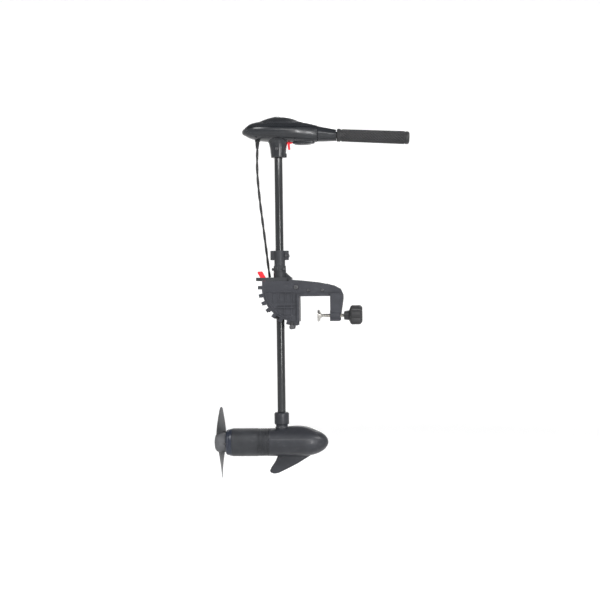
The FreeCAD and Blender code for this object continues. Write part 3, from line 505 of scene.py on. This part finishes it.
def hexagon(place, direction, across, thick, bore):
    """A six-sided nut with its corners turned off and a round hole."""
    spots = 60
    angle = full_turn(spots)
    six = across / np.cos((angle + np.pi / 6) % (np.pi / 3) - np.pi / 6)
    chamfer = np.minimum(six, across * 1.04)
    hole = np.full(spots, bore)
    radii = np.stack((hole, chamfer, six, six, chamfer, hole))
    return polar(place, direction, np.array([0, 0, 0.12, 0.88, 1, 1]) * thick, radii, spots)


pivot_bolt = solid("pivot_bolt_steel", [
    shank((PIVOT_X, -CHEEK_Y, PIVOT_Z), (0, 1, 0), 5.96, CHEEK_Y * 2 + 10),
    screw_head((PIVOT_X, -CHEEK_Y, PIVOT_Z), (0, -1, 0), 8.2, 4.6, 3.4)], black_steel)
belongs(pivot_bolt, "bracket", "steel", "pivot_bolt")
pivot_nut = solid("pivot_nut_steel", [hexagon((PIVOT_X, CHEEK_Y, PIVOT_Z), (0, 1, 0), 9.4, 8, 6)],
                  steel, wrapped=True)
belongs(pivot_nut, "bracket", "steel", "pivot_nut")
THROUGH_AT, THROUGH_Z = (14, 62), 20
through = []
for x in THROUGH_AT:
    through += [shank((x, -CHEEK_Y, THROUGH_Z), (0, 1, 0), 3, CHEEK_Y * 2 + 6),
                screw_head((x, -CHEEK_Y, THROUGH_Z), (0, -1, 0), 5.5, 3.6, 2.2),
                shank((x, CHEEK_Y, THROUGH_Z), (0, 1, 0), 5.4, 4.6)]
through = solid("bracket_bolts_steel", through, black_steel)
belongs(through, "bracket", "steel", "bracket_bolts")


def dress(material, *names):
    """Gives solids that keep their own shape the finish of what they are made of."""
    for name in names:
        mesh = frame["nodes"][name].data
        mesh.materials.clear()
        mesh.materials.append(material)


dress(brass, "clamp_inserts")

# Transom clamps ------------------------------------------------------------------------------
# Each screw is rolled from bright steel with a rounded thread. Its swivelling pad is pressed
# plate, and its knob a black moulding with five finger lobes.

SCREW_Y, SCREW_Z, THREAD_PITCH = 42, -66, 2
knob_plastic = finish("knob_plastic", (0.015, 0.015, 0.016), 0.46, grain=0.8, depth=0.35, scuffs=0.15)


def thread(start, end, y, radius, pitch, spots=36, steps=12):
    """A rod whose radius rises and falls once each pitch, shifted round by the angle."""
    along = np.linspace(start, end, int((end - start) / pitch * steps))
    angle = full_turn(spots)
    wave = np.cos(2 * np.pi * along[:, None] / pitch - angle)
    fade = np.clip(np.minimum(along - start, end - along) / 2, 0, 1)[:, None]
    return polar((0, y, SCREW_Z), (1, 0, 0), along, radius - 0.32 * (1 - wave) * fade, spots)


def lobed_knob(y):
    """A knob: a turned profile whose rim is drawn in between five lobes."""
    profile = eased([(134, 5), (134, 14), (151, 16), (155, 29), (160, 34), (187, 34), (195, 26),
                     (193.5, 14), (192.5, 5), (134, 5)], 3.5, 5)[:-1]
    spots = 120
    angle = full_turn(spots)
    lobe = (0.5 + 0.5 * np.cos(5 * angle)) ** 0.55
    depth = np.clip((profile[:, 1] - 14) / 20, 0, 1)[:, None]
    return polar((0, y, SCREW_Z), (1, 0, 0), profile[:, 0],
                 profile[:, 1:] - 7.5 * depth * (1 - lobe), spots)


for side, word in ((-1, "left"), (1, "right")):
    y = SCREW_Y * side
    pad = solid(f"pad_plate_{word}", [turned(
        eased([(45, 0.2), (45, 18), (46, 20), (49, 20), (50.5, 11), (54, 10), (54, 4.35),
               (49.2, 4.35), (49.2, 0.2)], 0.9), (0, y, SCREW_Z), (1, 0, 0), 64)], steel)
    belongs(pad, f"pad_{word}", "steel", f"clamp_pad_{word}")
    screw = solid(f"screw_thread_{word}", [shank((49.4, y, SCREW_Z), (1, 0, 0), 4, 7),
                                           thread(55.5, 136, y, 4.95, THREAD_PITCH),
                                           shank((135, y, SCREW_Z), (1, 0, 0), 4.95, 35)], steel)
    belongs(screw, f"screw_{word}", "steel", f"clamp_screw_{word}")
    knob = solid(f"knob_lobed_{word}", [lobed_knob(y)], knob_plastic, wrapped=True, crease=50)
    belongs(knob, f"screw_{word}", "knob_plastic", f"clamp_knob_{word}")

# Swivel housing ------------------------------------------------------------------------------
# One nylon moulding with the shaft sleeve, the top plate and the tilt boss. Nylon bushes line
# it where the shaft steers and where it turns on the pivot bolt.

swivel_plastic = finish("swivel_plastic", (0.016, 0.017, 0.0195), 0.5, grain=0.8, depth=0.35,
                        scuffs=0.18)
nylon = finish("bush_nylon", (0.62, 0.6, 0.54), 0.45, grain=0.5, depth=0.1, patchy=0.1)
softened("swivel_housing", "swivel_moulding", 0.9, swivel_plastic, "swivel")
dress(nylon, "steering_bushes", "pivot_bushes")
dress(steel, "lead_hook")

# Tilt release --------------------------------------------------------------------------------
# A red moulded lever on two trunnions works the sprung yoke, whose cross pin drops between the
# teeth of the fan and holds the tilt. Two coil springs push the yoke down.

red_plastic = finish("lever_red", (0.72, 0.012, 0.02), 0.38, grain=0.6, depth=0.15, patchy=0.2,
                     coat=0.15, scuffs=0.1)
softened("tilt_lever", "lever_moulding", 0.8, red_plastic, "lever")
softened("lock_yoke", "yoke_pressing", 0.6, black_steel, "lock")
lock_low, lock_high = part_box("lock_pin")
pin_x = (lock_low.x + lock_high.x) / 2 / MM
pin_z = (lock_low.z + lock_high.z) / 2 / MM
lock_pin = solid("lock_pin_steel", [turned(eased(
    [(-47, 0.3), (-47, 8), (-44, 8), (-43.9, 4.95), (43.9, 4.95), (44, 8), (47, 8), (47, 0.3)],
    0.7), (pin_x, 0, pin_z), (0, 1, 0), 40)], black_steel)
belongs(lock_pin, "lock", "steel", "lock_pin")


def coil_spring(x, y, low, high, radius=3.2, wire=0.6, pitch=2.6):
    """A round wire carried along a helix about an upright axis."""
    turns = (high - low) / pitch
    angle = np.linspace(0, 2 * np.pi * turns, int(turns * 24))[:, None]
    round_it = full_turn(10)[None]
    reach = radius + wire * np.cos(round_it)
    rise = low + (high - low) * angle / angle[-1] + wire * np.sin(round_it)
    return np.stack((x + reach * np.cos(angle), y + reach * np.sin(angle), rise), -1)


SPRING_X, SPRING_Y, SPRING_LOW, SPRING_HIGH, LOCK_TRAVEL = -121, 16, 28.7, 52.7, 7.6
springs = solid("lock_springs_coiled", [coil_spring(SPRING_X, side * SPRING_Y, SPRING_LOW, SPRING_HIGH)
                                        for side in (-1, 1)], steel)
belongs(springs, "swivel", "steel", "lock_springs")
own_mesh(springs)

# Collars -------------------------------------------------------------------------------------
# The castellated tension ring sets how stiffly the shaft steers. Above it the split collar
# clamps the shaft at its depth, drawn together by a screw with a small fluted knob.

SHAFT_X = -84


def tension_ring():
    """A ring whose rim is scalloped between fourteen castles on its upper half."""
    profile = eased([(83.3, 14.5), (83.3, 21.2), (91, 21.5), (92, 21), (105, 20.8), (105, 14.5),
                     (83.3, 14.5)], 0.8)[:-1]
    spots = 168
    angle = full_turn(spots)
    notch = np.clip(np.cos(14 * angle) * 3, -1, 1) * 0.5 + 0.5
    upper = (np.clip((profile[:, 0] - 91.5) / 1.0, 0, 1) * (profile[:, 1] > 17))[:, None]
    return polar((SHAFT_X, 0, 0), (0, 0, 1), profile[:, 0], profile[:, 1:] - 1.7 * notch * upper,
                 spots)


ring = solid("tension_ring_castle", [tension_ring(), pillow((-107.5, 0, 92.8), (4, 5, 4.5))],
             swivel_plastic, wrapped=[True, False], crease=45)
belongs(ring, "tension", "swivel_plastic", "tension_ring")
TENSION_SPOT = (-68, -23.4, 93)
tension_screw = solid("tension_screw_steel", [
    shank(TENSION_SPOT, (0, 1, 0), 2.4, 12),
    screw_head(TENSION_SPOT, (0, -1, 0), 4.5, 3, 1.8)], black_steel)
belongs(tension_screw, "tension", "steel", "tension_screw")
softened("depth_collar", "collar_moulding", 1.3, swivel_plastic, "collar", 3)
KNOB_X, KNOB_Z = -62, 139
spots = 96
flutes = 0.55 * (0.5 + 0.5 * np.cos(12 * full_turn(spots)))
barrel = eased([(14.6, 3), (14.6, 8.6), (28, 10.6), (30.5, 8.5), (30.5, 0.4)], 0.8)
worked = (barrel[:, 1:] > 8) * flutes
depth_knob = solid("depth_knob_fluted", [
    polar((KNOB_X, 0, KNOB_Z), (0, 1, 0), barrel[:, 0], barrel[:, 1:] - worked, spots),
    shank((KNOB_X, -8, KNOB_Z), (0, 1, 0), 2.9, 24)], knob_plastic)
belongs(depth_knob, "collar_knob", "knob_plastic", "depth_screw")
depth_head = solid("depth_screw_head", [
    screw_head((KNOB_X, -7.3, KNOB_Z), (0, -1, 0), 5, 4.2, 2)], black_steel)
belongs(depth_head, "collar_knob", "steel")

# Shaft ---------------------------------------------------------------------------------------
# A drawn tube of glossy black glass-fibre composite, open at both ends, with the four motor
# wires inside it.

shaft_composite = finish("shaft_composite", (0.008, 0.009, 0.01), 0.16, grain=0.7, depth=0.06,
                         patchy=0.25, coat=0.3, stretch=(1, 1, 14), scuffs=0.1)
wire_sheath = finish("wire_sheath", (0.03, 0.03, 0.03), 0.5, grain=0.5, depth=0.2)
tube_ends = eased([(-432, 11.1), (-432, 13.9), (514, 13.9), (514, 11.1), (-432, 11.1)], 0.6)[:-1]
shaft = solid("shaft_tube_composite", [turned(tube_ends, (SHAFT_X, 0, 0), (0, 0, 1), 72)],
              shaft_composite, wrapped=True)
belongs(shaft, "mast", "shaft_composite", "shaft_tube")
dress(wire_sheath, "motor_wires")

# Control head shells -------------------------------------------------------------------------
# Two thin mouldings that meet at a fine groove. The upper one swells into a dome over the
# meter, the lower one carries the shaft collar, a keel for the trigger and a closed nose.

head_plastic = finish("head_plastic", (0.0105, 0.0115, 0.0135), 0.24, grain=0.5, depth=0.14,
                      patchy=0.25, coat=0.12, scuffs=0.12)
HEAD_SEAM, SEAM_GAP, HEAD_WALL = 571.5, 0.7, 3
HEAD_AT = (-123.2, -122, -112, -95, -70, -35, 10, 60, 100, 134)
HEAD_HALF = (0, 7, 24, 39, 50, 56, 57, 50, 39, 29)
HEAD_TALL = (0, 5, 13.5, 24, 31, 34.5, 36.5, 36.7, 34, 28.5)
HEAD_MIDDLE = (560.5, 560.5, 562, 563.5, 563, 561.5, 560.2, 558.6, 555.8, 551.8)
DOME_AT, DOME_LEVEL, DOME_HALVES = 8, 589.5, (86, 42, 22.5)


def flowing(at, values, x):
    """A smooth curve through stations: a cubic between each two, with slopes shared at them."""
    at, values = np.array(at, float), np.array(values, float)
    slope = np.gradient(values, at)
    i = np.clip(np.searchsorted(at, x) - 1, 0, len(at) - 2)
    step = at[i + 1] - at[i]
    t = (x - at[i]) / step
    return (values[i] * (1 + 2 * t) * (1 - t) ** 2 + values[i + 1] * t * t * (3 - 2 * t)
            + step * (slope[i] * t * (1 - t) ** 2 - slope[i + 1] * t * t * (1 - t)))


def dome_height(x, y):
    """Height of the dome over a place, far below the shell where the dome isn't."""
    inside = 1 - ((x - DOME_AT) / DOME_HALVES[0]) ** 2 - (y / DOME_HALVES[1]) ** 2
    return np.where(inside > 0, DOME_LEVEL + DOME_HALVES[2] * np.clip(inside, 0, 1) ** 1.15, 0)


def head_section(x, wall, level, lower, spots):
    """The part of each elliptical section that lies above or below a level, end to end."""
    squares = (np.maximum(flowing(HEAD_AT, np.square(s), x), 0) for s in (HEAD_HALF, HEAD_TALL))
    half, tall = (np.maximum(np.sqrt(square) - wall, 0.05) for square in squares)
    middle = flowing(HEAD_AT, HEAD_MIDDLE, x)
    edge = np.arcsin(np.clip((level - middle) / tall, -1, 1))
    first, last = (np.pi - edge, 2 * np.pi + edge) if lower else (edge, np.pi - edge)
    share = np.linspace(0, 1, spots)
    angle = first[:, None] + (last - first)[:, None] * share
    y = half[:, None] * np.cos(angle)
    z = middle[:, None] + tall[:, None] * np.sin(angle)
    if not lower:
        crown = dome_height(x[:, None], y) - wall
        blend = np.clip((crown - z) / 5 + 0.5, 0, 1)
        z = np.where(crown > z, np.maximum(z, crown), z) + 0.9 * blend * (1 - blend)
        z = np.maximum(z, level)
    return np.stack((np.broadcast_to(SHAFT_X + x[:, None], y.shape), y, z), -1)


def head_shell(start, end, lower, rows, spots):
    """Outer skin one way round and inner skin back, so each ring is the wall cut across."""
    share = np.linspace(0, 1, rows)
    x = start + (end - start) * (share ** 1.7 if lower else share)
    sign = -1 if lower else 1
    outer = head_section(x, 0.0, HEAD_SEAM + sign * SEAM_GAP, lower, spots)
    inner = head_section(x, float(HEAD_WALL), HEAD_SEAM, lower, spots)
    return np.concatenate((outer, inner[:, ::-1]), axis=1)


upper_shell = solid("head_shell_upper", [head_shell(-111.8, 134, False, 190, 90)], head_plastic,
                    crease=28)
belongs(upper_shell, "mast", "head_plastic", "head_upper_shell")

COLLAR_BORE = 14.1
collar = eased([(472, COLLAR_BORE), (472, 23.2), (474.5, 24.2), (503, 26.8), (520, 31), (529, 36),
                (534, 42), (534, COLLAR_BORE), (472, COLLAR_BORE)], 1.6)[:-1]
ribs = 0.9 * np.clip(np.cos(6 * full_turn(120)) * 6 - 5, 0, 1)
lower_shell = solid("head_shell_lower", [
    head_shell(-123.1, 134, True, 150, 90),
    polar((SHAFT_X, 0, 0), (0, 0, 1), collar[:, 0],
          collar[:, 1:] + ribs * (collar[:, 1:] > 23) * (collar[:, 1:] < 30), 120),
    pillow((-60.5, 0, 479.5), (5.5, 6, 7.4), 0.4),
    pillow((3, 0, 523.5), (38, 17, 6.8), 0.5, 64, 25),
    pillow((0, 13.6, 521), (30, 1.6, 5.4), 0.6),
    pillow((0, -13.6, 521), (30, 1.6, 5.4), 0.6)],
    head_plastic, wrapped=[False, True, False, False, False, False], crease=40)
belongs(lower_shell, "mast", "head_plastic", "head_lower_shell")

# Meter window --------------------------------------------------------------------------------
# A smoked lens let into the crown of the dome, with five small lamps that show how much charge
# is left, in a thin moulded rim.

WINDOW_AT, LAMP_STEP = 4, 7
smoked = finish("meter_lens", (0.012, 0.012, 0.014), 0.08, grain=0.6, depth=0.02, coat=0.8,
                scuffs=0.05)
lamp_green = finish("meter_lamp", (0.05, 0.55, 0.12), 0.3, grain=0.4, depth=0.05, patchy=0.1)


def dome_plate(half_x, half_y, low, high, spots=64):
    """A rounded plate that lies on the dome: rings in to its middle, then back out beneath."""
    angle = full_turn(spots)
    shrink = np.concatenate((np.linspace(0.02, 1, 14), np.linspace(1, 0.02, 14)))[:, None]
    lift = np.concatenate((np.full(13, high), [high - 0.25], np.full(14, low)))[:, None]
    x = WINDOW_AT + half_x * shrink * np.sign(np.cos(angle)) * np.abs(np.cos(angle)) ** 0.5
    y = half_y * shrink * np.sign(np.sin(angle)) * np.abs(np.sin(angle)) ** 0.5
    return np.stack((SHAFT_X + x, y, dome_height(x, y) + lift), -1)


window = solid("meter_lens_smoked", [dome_plate(21, 8.2, -1.6, 0.55)], smoked)
belongs(window, "mast", "window", "meter_window")
rim = solid("meter_rim", [dome_plate(23, 10, -1.9, 0.35)], head_plastic)
belongs(rim, "mast", "head_plastic")
lamp_shells = []
for count in range(5):
    x = WINDOW_AT + LAMP_STEP * (count - 2)
    level = float(dome_height(np.array(x), np.array(0.0)))
    lamp_shells.append(pillow((SHAFT_X + x, 0, level + 0.5), (1.5, 1.5, 0.6), 1.0, 20, 9))
lamps = solid("meter_lamps", lamp_shells, lamp_green)
belongs(lamps, "mast", "window")

# Head fasteners and switch -------------------------------------------------------------------
# A bolt through the collar and the tube holds the head on. Four screws close the shells, and
# the rotary speed switch sits inside on its stay.

BOLT_X, BOLT_Z = -87, 500
head_bolt = solid("head_bolt_steel", [
    shank((BOLT_X, -30, BOLT_Z), (0, 1, 0), 2.95, 61),
    screw_head((BOLT_X, -29.2, BOLT_Z), (0, -1, 0), 5.5, 3.4, 2.4),
    hexagon((BOLT_X, 29.4, BOLT_Z), (0, 1, 0), 5, 4, 3)], black_steel, wrapped=[False, False, True])
belongs(head_bolt, "mast", "steel", "head_bolt")
SCREW_PAIRS = ((-75, 30, 532.2), (60, 32, 523.8))
HEAD_SUNK = 3
shell_screws = []
for at, y, foot in SCREW_PAIRS:
    for side in (-1, 1):
        spot = (SHAFT_X + at, y * side, foot + HEAD_SUNK)
        shell_screws += [shank(spot, (0, 0, 1), 1.95, 32),
                         screw_head(spot, (0, 0, -1), 3.6, HEAD_SUNK, 1.5)]
shell_screws = solid("shell_screws_black", shell_screws, black_steel)
belongs(shell_screws, "mast", "steel", "shell_screws")
switch_resin = finish("switch_resin", (0.05, 0.07, 0.1), 0.5, grain=0.7, depth=0.2)
dress(switch_resin, "speed_switch")
dress(nylon, "speed_rotor")

# Tiller --------------------------------------------------------------------------------------
# A tapered sleeve holds the tube that twists for speed and pulls out for reach. Its rubber
# grip has raised diamonds along it, a finely fluted band at its root and a rounded end.

TILLER_Z = 556.5
DROOP = math.radians(3.3)
tiller_start = (SHAFT_X, 0, TILLER_Z)
tiller_way = (math.cos(DROOP), 0, -math.sin(DROOP))
SLEEVE_START, SLEEVE_LEVEL, SLEEVE_FALL = 134.4, 551.5, 0.1006
sleeve_stations = np.array([SLEEVE_START, SLEEVE_START, 135, 137, 160, 185, 193, 197, 198, 198,
                            SLEEVE_START])
sleeve_outer = np.array([12.7, 25.4, 27.2, 28.4, 25.7, 22.6, 21.6, 21.4, 20.6, 12.7, 12.7])
angle = full_turn(96)
flat = 1 - 0.05 * np.cos(2 * angle) * (sleeve_outer[:, None] > 20)
drop = SLEEVE_LEVEL - (sleeve_stations - SLEEVE_START) * SLEEVE_FALL
sleeve_rings = polar((SHAFT_X, 0, 0), (1, 0, 0), sleeve_stations, sleeve_outer[:, None] * flat, 96)
sleeve_rings[..., 2] += drop[:, None]
sleeve = solid("tiller_sleeve_moulding", [sleeve_rings[:-1]], head_plastic, wrapped=True)
belongs(sleeve, "mast", "head_plastic", "tiller_sleeve")

tiller_tube = solid("tiller_tube_composite", [turned(eased(
    [(18, 0.5), (18, 12.4), (430, 12.4), (430, 0.5)], 1), tiller_start, tiller_way, 64)],
    shaft_composite)
belongs(tiller_tube, "tiller", "shaft_composite", "tiller_tube")

GRIP_START, GRIP_FIRST, GRIP_LAST, GRIP_END = 200.5, 216, 430, 446
DIAMONDS_ROUND, DIAMOND_LONG, DIAMOND_TALL = 14, 10.5, 2
grip_rubber = finish("grip_rubber", (0.015, 0.015, 0.016), 0.36, grain=0.5, depth=0.35,
                     patchy=0.25, scuffs=0.2)
spots = 210
angle = full_turn(spots)[None]
rows = np.linspace(GRIP_FIRST, GRIP_LAST, 360)
across = DIAMONDS_ROUND * angle / 2
lengthwise = np.pi * rows[:, None] / DIAMOND_LONG
relief = np.abs(np.sin(across + lengthwise)) * np.abs(np.sin(across - lengthwise))
relief = np.clip(relief * 1.5, 0, 1) * DIAMOND_TALL
fade = np.clip(np.minimum(rows - GRIP_FIRST, GRIP_LAST - rows) / 1.5, 0, 1)[:, None]
swell = 19.2 + 1.0 * (rows[:, None] - GRIP_FIRST) / (GRIP_LAST - GRIP_FIRST)
middle = swell + relief * fade
root = eased([(GRIP_START, 12.6), (GRIP_START, 20.4), (202, 21.3), (212, 21.3), (213.5, 19.6),
              (215.5, 19.7)], 0.7, 5)
root_flutes = (0.5 * np.cos(28 * angle) * ((root[:, :1] > 202) & (root[:, 1:] > 21)))
tip = eased([(431, 20.8), (432.5, 21.9), (438, 22), (443, 20.5), (GRIP_END, 15), (GRIP_END, 0.6)],
            1.6, 6)
grip_along = np.concatenate((root[:, 0], rows, tip[:, 0]))
grip_radius = np.concatenate((root[:, 1:] + root_flutes, middle,
                              np.broadcast_to(tip[:, 1:], (len(tip), spots))))
grip = solid("grip_diamond", [polar(tiller_start, tiller_way, grip_along, grip_radius, spots)],
             grip_rubber, crease=60)
belongs(grip, "tiller", "grip_rubber", "grip")

# Depth catch ---------------------------------------------------------------------------------
# The red trigger under the head turns on two small trunnions. It is one moulding in the same
# plastic as the tilt lever, with every edge slightly round.

softened("trigger", "trigger_moulding", 0.7, red_plastic, "catch")

# Motor nose ----------------------------------------------------------------------------------
# A cast and painted aluminium shell: the blunt nose, a low fairing ahead of the shaft, the
# socket that the tube is clamped in and the swept skeg that guards the propeller.

pod_paint = finish("pod_paint", (0.0155, 0.0165, 0.02), 0.4, grain=1.0, depth=0.3, patchy=0.35,
                   coat=0.06, scuffs=0.22)
POD_Z, POD_RADIUS = -496, 47.5
JOINT_AT, NOSE_MID, NOSE_LONG = -43, 68, 90
FAIRING_AT, FAIRING_LONG, FAIRING_WIDE, FAIRING_RISE = 52, 66, 0.42, 8.2
spots = 128
angle = full_turn(spots)[None]
share = np.linspace(0, 1, 90)
nose_at = np.concatenate((np.linspace(JOINT_AT, NOSE_MID, 50)[:-1],
                          NOSE_MID + NOSE_LONG * np.sin(share * np.pi / 2)))
past = np.clip((nose_at - NOSE_MID) / NOSE_LONG, 0, 0.99999)
lip = 0.9 * np.clip(1 - (nose_at - JOINT_AT) / 1.2, 0, 1) ** 2
nose_radius = (POD_RADIUS * np.sqrt(1 - past ** 2) - lip)[:, None]
above = np.angle(np.exp(1j * (angle - np.pi / 2)))
hump = np.clip(1 - ((nose_at[:, None] - FAIRING_AT) / FAIRING_LONG) ** 2, 0, 1)
hump = FAIRING_RISE * hump ** 1.2 * np.exp(-np.abs(above / FAIRING_WIDE) ** 2.4)


def about_pod(at, radius, spots):
    """Rings about the motor's axis, with the first point at port and the next ones above it."""
    angle = full_turn(spots)
    radius = np.broadcast_to(radius, (len(at), spots))
    x = np.broadcast_to(SHAFT_X + np.asarray(at, float)[:, None], radius.shape)
    return np.stack((x, radius * np.cos(angle), POD_Z + radius * np.sin(angle)), -1)


socket = eased([(-470, 14.1), (-450, 21), (-446, 22.4), (-441, 20), (-436, 20.5), (-433, 25),
                (-398, 25), (-394, 21.5), (-394, 14.1), (-470, 14.1)], 1.5)[:-1]
SKEG_FRONT = ((-482, 50), (-505.5, 68), (-543.5, 10), (-568.5, -30), (-589.5, -71),
              (-596, -85), (-602, -98), (-603.8, -110))
SKEG_BACK = ((-482, -60), (-520, -96), (-545, -100), (-564, -109), (-581, -121), (-594, -127),
             (-600, -124), (-603.8, -114))
levels = np.concatenate((np.linspace(-490, -590, 40), np.linspace(-591, -603.6, 16)))
front = np.interp(-levels, [-z for z, at in SKEG_FRONT], [at for z, at in SKEG_FRONT])
back = np.interp(-levels, [-z for z, at in SKEG_BACK], [at for z, at in SKEG_BACK])


def foil(levels, front, back, thick, spots=48):
    """A swept fin: at each level a symmetric section, blunt in front and fine behind."""
    turn = full_turn(spots)
    chord = (1 - np.cos(turn)) / 2
    swell = 2.6 * np.sqrt(chord) * (1 - chord) + 0.1 * np.sqrt(chord)
    y = np.sign(np.sin(turn)) * swell * np.asarray(thick)[:, None]
    x = front[:, None] + (back - front)[:, None] * chord
    return np.stack((x, y, np.broadcast_to(levels[:, None], x.shape)), -1)


thinning = 3.9 * np.clip((levels + 606) / 60, 0.16, 1) ** 0.6
nose = solid("nose_casting", [
    about_pod(nose_at, nose_radius + hump, spots),
    polar((SHAFT_X, 0, 0), (0, 0, 1), socket[:, 0], socket[:, 1:], 96),
    foil(levels, front, back, thinning)], pod_paint, wrapped=[False, True, False], crease=38)
belongs(nose, "mast", "pod_paint", "nose_housing")

# Motor can and tail cap ----------------------------------------------------------------------
# A drawn steel can, painted, with a band of shallow rolled ribs by the nose joint. The bluish
# die-cast cap closes it, held by two long bolts and sealed round the shaft.

can_paint = finish("can_paint", (0.016, 0.017, 0.0195), 0.45, grain=1.2, depth=0.35, patchy=0.4,
                   scuffs=0.25)
cap_paint = finish("cap_paint", (0.012, 0.015, 0.024), 0.38, grain=0.9, depth=0.25, patchy=0.3,
                   coat=0.1, scuffs=0.2)
CAN_BACK, BAND_AT, BAND_RIBS, RIB_DEEP = -169, -82, 6, 1.3
can_at = np.linspace(CAN_BACK, JOINT_AT - 0.8, 380)
ripple = (can_at - BAND_AT) / (JOINT_AT - 3 - BAND_AT)
ribbing = np.where((ripple > 0) & (ripple < 1),
                   RIB_DEEP * np.clip(0.8 - 1.6 * np.cos(2 * np.pi * BAND_RIBS * ripple), 0, 1), 0)
ends = 0.8 * (np.clip(1 - (can_at - CAN_BACK) / 1.0, 0, 1)
              + np.clip(1 - (JOINT_AT - 0.8 - can_at) / 1.0, 0, 1))
can_outer = POD_RADIUS - ribbing - ends
can_rings = np.concatenate((about_pod(can_at, can_outer[:, None], 96),
                            about_pod([JOINT_AT - 0.8, CAN_BACK], 44.1, 96)))
can = solid("motor_can_ribbed", [can_rings], can_paint, wrapped=True)
belongs(can, "mast", "pod_paint", "motor_can")
CAP_BACK = -190
cap_profile = eased([(0, 16.1), (0, 39.5), (3.5, 43), (7, 44.2), (8, 43.2), (10, 43.4), (11, 45),
                     (19, 46.4), (20.6, 46.6), (20.6, 43.6), (28, 43.6), (28, 40), (21, 40),
                     (12, 30), (12, 16.1), (0, 16.1)], 0.9)[:-1]
cap = solid("tail_cap_casting", [about_pod(CAP_BACK + cap_profile[:, 0], cap_profile[:, 1:], 96)],
            cap_paint, wrapped=True)
belongs(cap, "mast", "pod_paint", "tail_cap")
LONG_BOLT, LONG_BOLT_Y = 155, 41
long_bolts = []
for side in (-1, 1):
    spot = (SHAFT_X + CAP_BACK, LONG_BOLT_Y * side, POD_Z)
    long_bolts += [shank(spot, (1, 0, 0), 2.4, LONG_BOLT),
                   screw_head(spot, (-1, 0, 0), 4, 3, 1.8)]
long_bolts = solid("through_bolts_steel", long_bolts, black_steel)
belongs(long_bolts, "mast", "steel", "through_bolts")

# Motor parts ---------------------------------------------------------------------------------
# What turns and feeds the propeller: laminated armature, enamelled windings, commutator,
# carbon brushes on their plate, ferrite magnets, bronze bearings and the lip seal.

dress(finish("laminated_iron", (0.3, 0.3, 0.31), 0.4, grain=0.5, depth=0.4, metallic=0.9,
             stretch=(0.3, 6, 6)), "armature")
dress(finish("enamelled_copper", (0.6, 0.22, 0.07), 0.3, grain=0.8, depth=0.5, metallic=0.9,
             stretch=(6, 1, 1)), "windings")
dress(finish("commutator_copper", (0.68, 0.32, 0.16), 0.28, grain=0.6, depth=0.2, metallic=1.0),
      "commutator")
dress(finish("brush_carbon", (0.03, 0.03, 0.032), 0.7, grain=0.4, depth=0.4), "brushes")
dress(finish("brush_plate_resin", (0.2, 0.09, 0.035), 0.5, grain=0.9, depth=0.2), "brush_plate")
dress(finish("ferrite", (0.045, 0.045, 0.05), 0.55, grain=0.6, depth=0.3, metallic=0.3),
      "magnets")
dress(steel, "motor_shaft", "shear_pin")
dress(brass, "bearings")
dress(rubber, "shaft_seal")

# Propeller -----------------------------------------------------------------------------------
# Hub and two blades in one grey nylon moulding. The blades are true screw surfaces that thin
# towards the tip, so the upper one is seen broad and the lower one nearly on edge.

prop_plastic = finish("prop_plastic", (0.055, 0.056, 0.06), 0.55, grain=1.4, depth=0.5,
                      patchy=0.35, scuffs=0.3)
blade_plastic = finish("blade_plastic", (0.035, 0.036, 0.038), 0.42, grain=0.9, depth=0.25,
                       patchy=0.3, scuffs=0.25)
HUB_BACK, BLADE_AT, BLADE_REACH, BLADE_PITCH, BLADE_CHORD = -230, -208, 122.3, 142, 64
BLADE_ROOT, BLADE_RAKE, BLADE_SWEEP = 26, -2, -5
hub_profile = eased([(0, 7.6), (0, 15), (2.5, 25), (8, 31), (16, 34), (40, 33), (59.3, 32.8),
                     (60, 32), (60, 7.2), (0, 7.6)], 2.2, 5)[:-1]


def screw_blade(turn, spots=64, rows=70):
    """A thin foil at each radius, laid along the helix of the pitch and narrowed at the tip."""
    share = np.linspace(0, 1, rows) ** 0.9
    radius = BLADE_ROOT + (BLADE_REACH - BLADE_ROOT) * share
    width = BLADE_CHORD * (0.74 + 0.28 * np.sin(np.pi * np.clip(share * 1.2, 0, 1)))
    width *= np.sqrt(np.clip(1 - share ** 9, 0.0009, 1))
    pitch = np.arctan(BLADE_PITCH / (2 * np.pi * np.maximum(radius, 38)))
    rake = BLADE_RAKE * share ** 2
    sweep = BLADE_SWEEP * share ** 1.5
    around = full_turn(spots)
    along = (np.cos(around) / 2)[None] * width[:, None] + sweep[:, None]
    thick = (2.9 - 2.0 * share)[:, None] * np.sin(around) * (1 - 0.35 * np.cos(around))
    camber = 2.2 * (1 - np.cos(around) ** 2) * (1 - share[:, None])
    x = BLADE_AT + along * np.sin(pitch)[:, None] + (thick + camber) * np.cos(pitch)[:, None]
    arc = (along * np.cos(pitch)[:, None] - (thick + camber) * np.sin(pitch)[:, None])
    y = radius[:, None] * np.sin(arc / radius[:, None])
    z = radius[:, None] * np.cos(arc / radius[:, None])
    y, z = y * math.cos(turn) - z * math.sin(turn), y * math.sin(turn) + z * math.cos(turn)
    return np.stack((SHAFT_X + x - rake[:, None], y, POD_Z + z), -1)


hub = solid("propeller_hub", [about_pod(HUB_BACK + hub_profile[:, 0], hub_profile[:, 1:], 96)],
            prop_plastic, wrapped=True)
belongs(hub, "rotor", "prop_plastic", "propeller")
blades = solid("propeller_blades", [screw_blade(0), screw_blade(np.pi)], blade_plastic)
belongs(blades, "rotor", "prop_plastic")
prop_nut = solid("prop_nut_steel", [hexagon((SHAFT_X - 222, 0, POD_Z), (1, 0, 0), 6.8, 9, 5)],
                 steel, wrapped=True)
belongs(prop_nut, "rotor", "steel", "prop_nut")
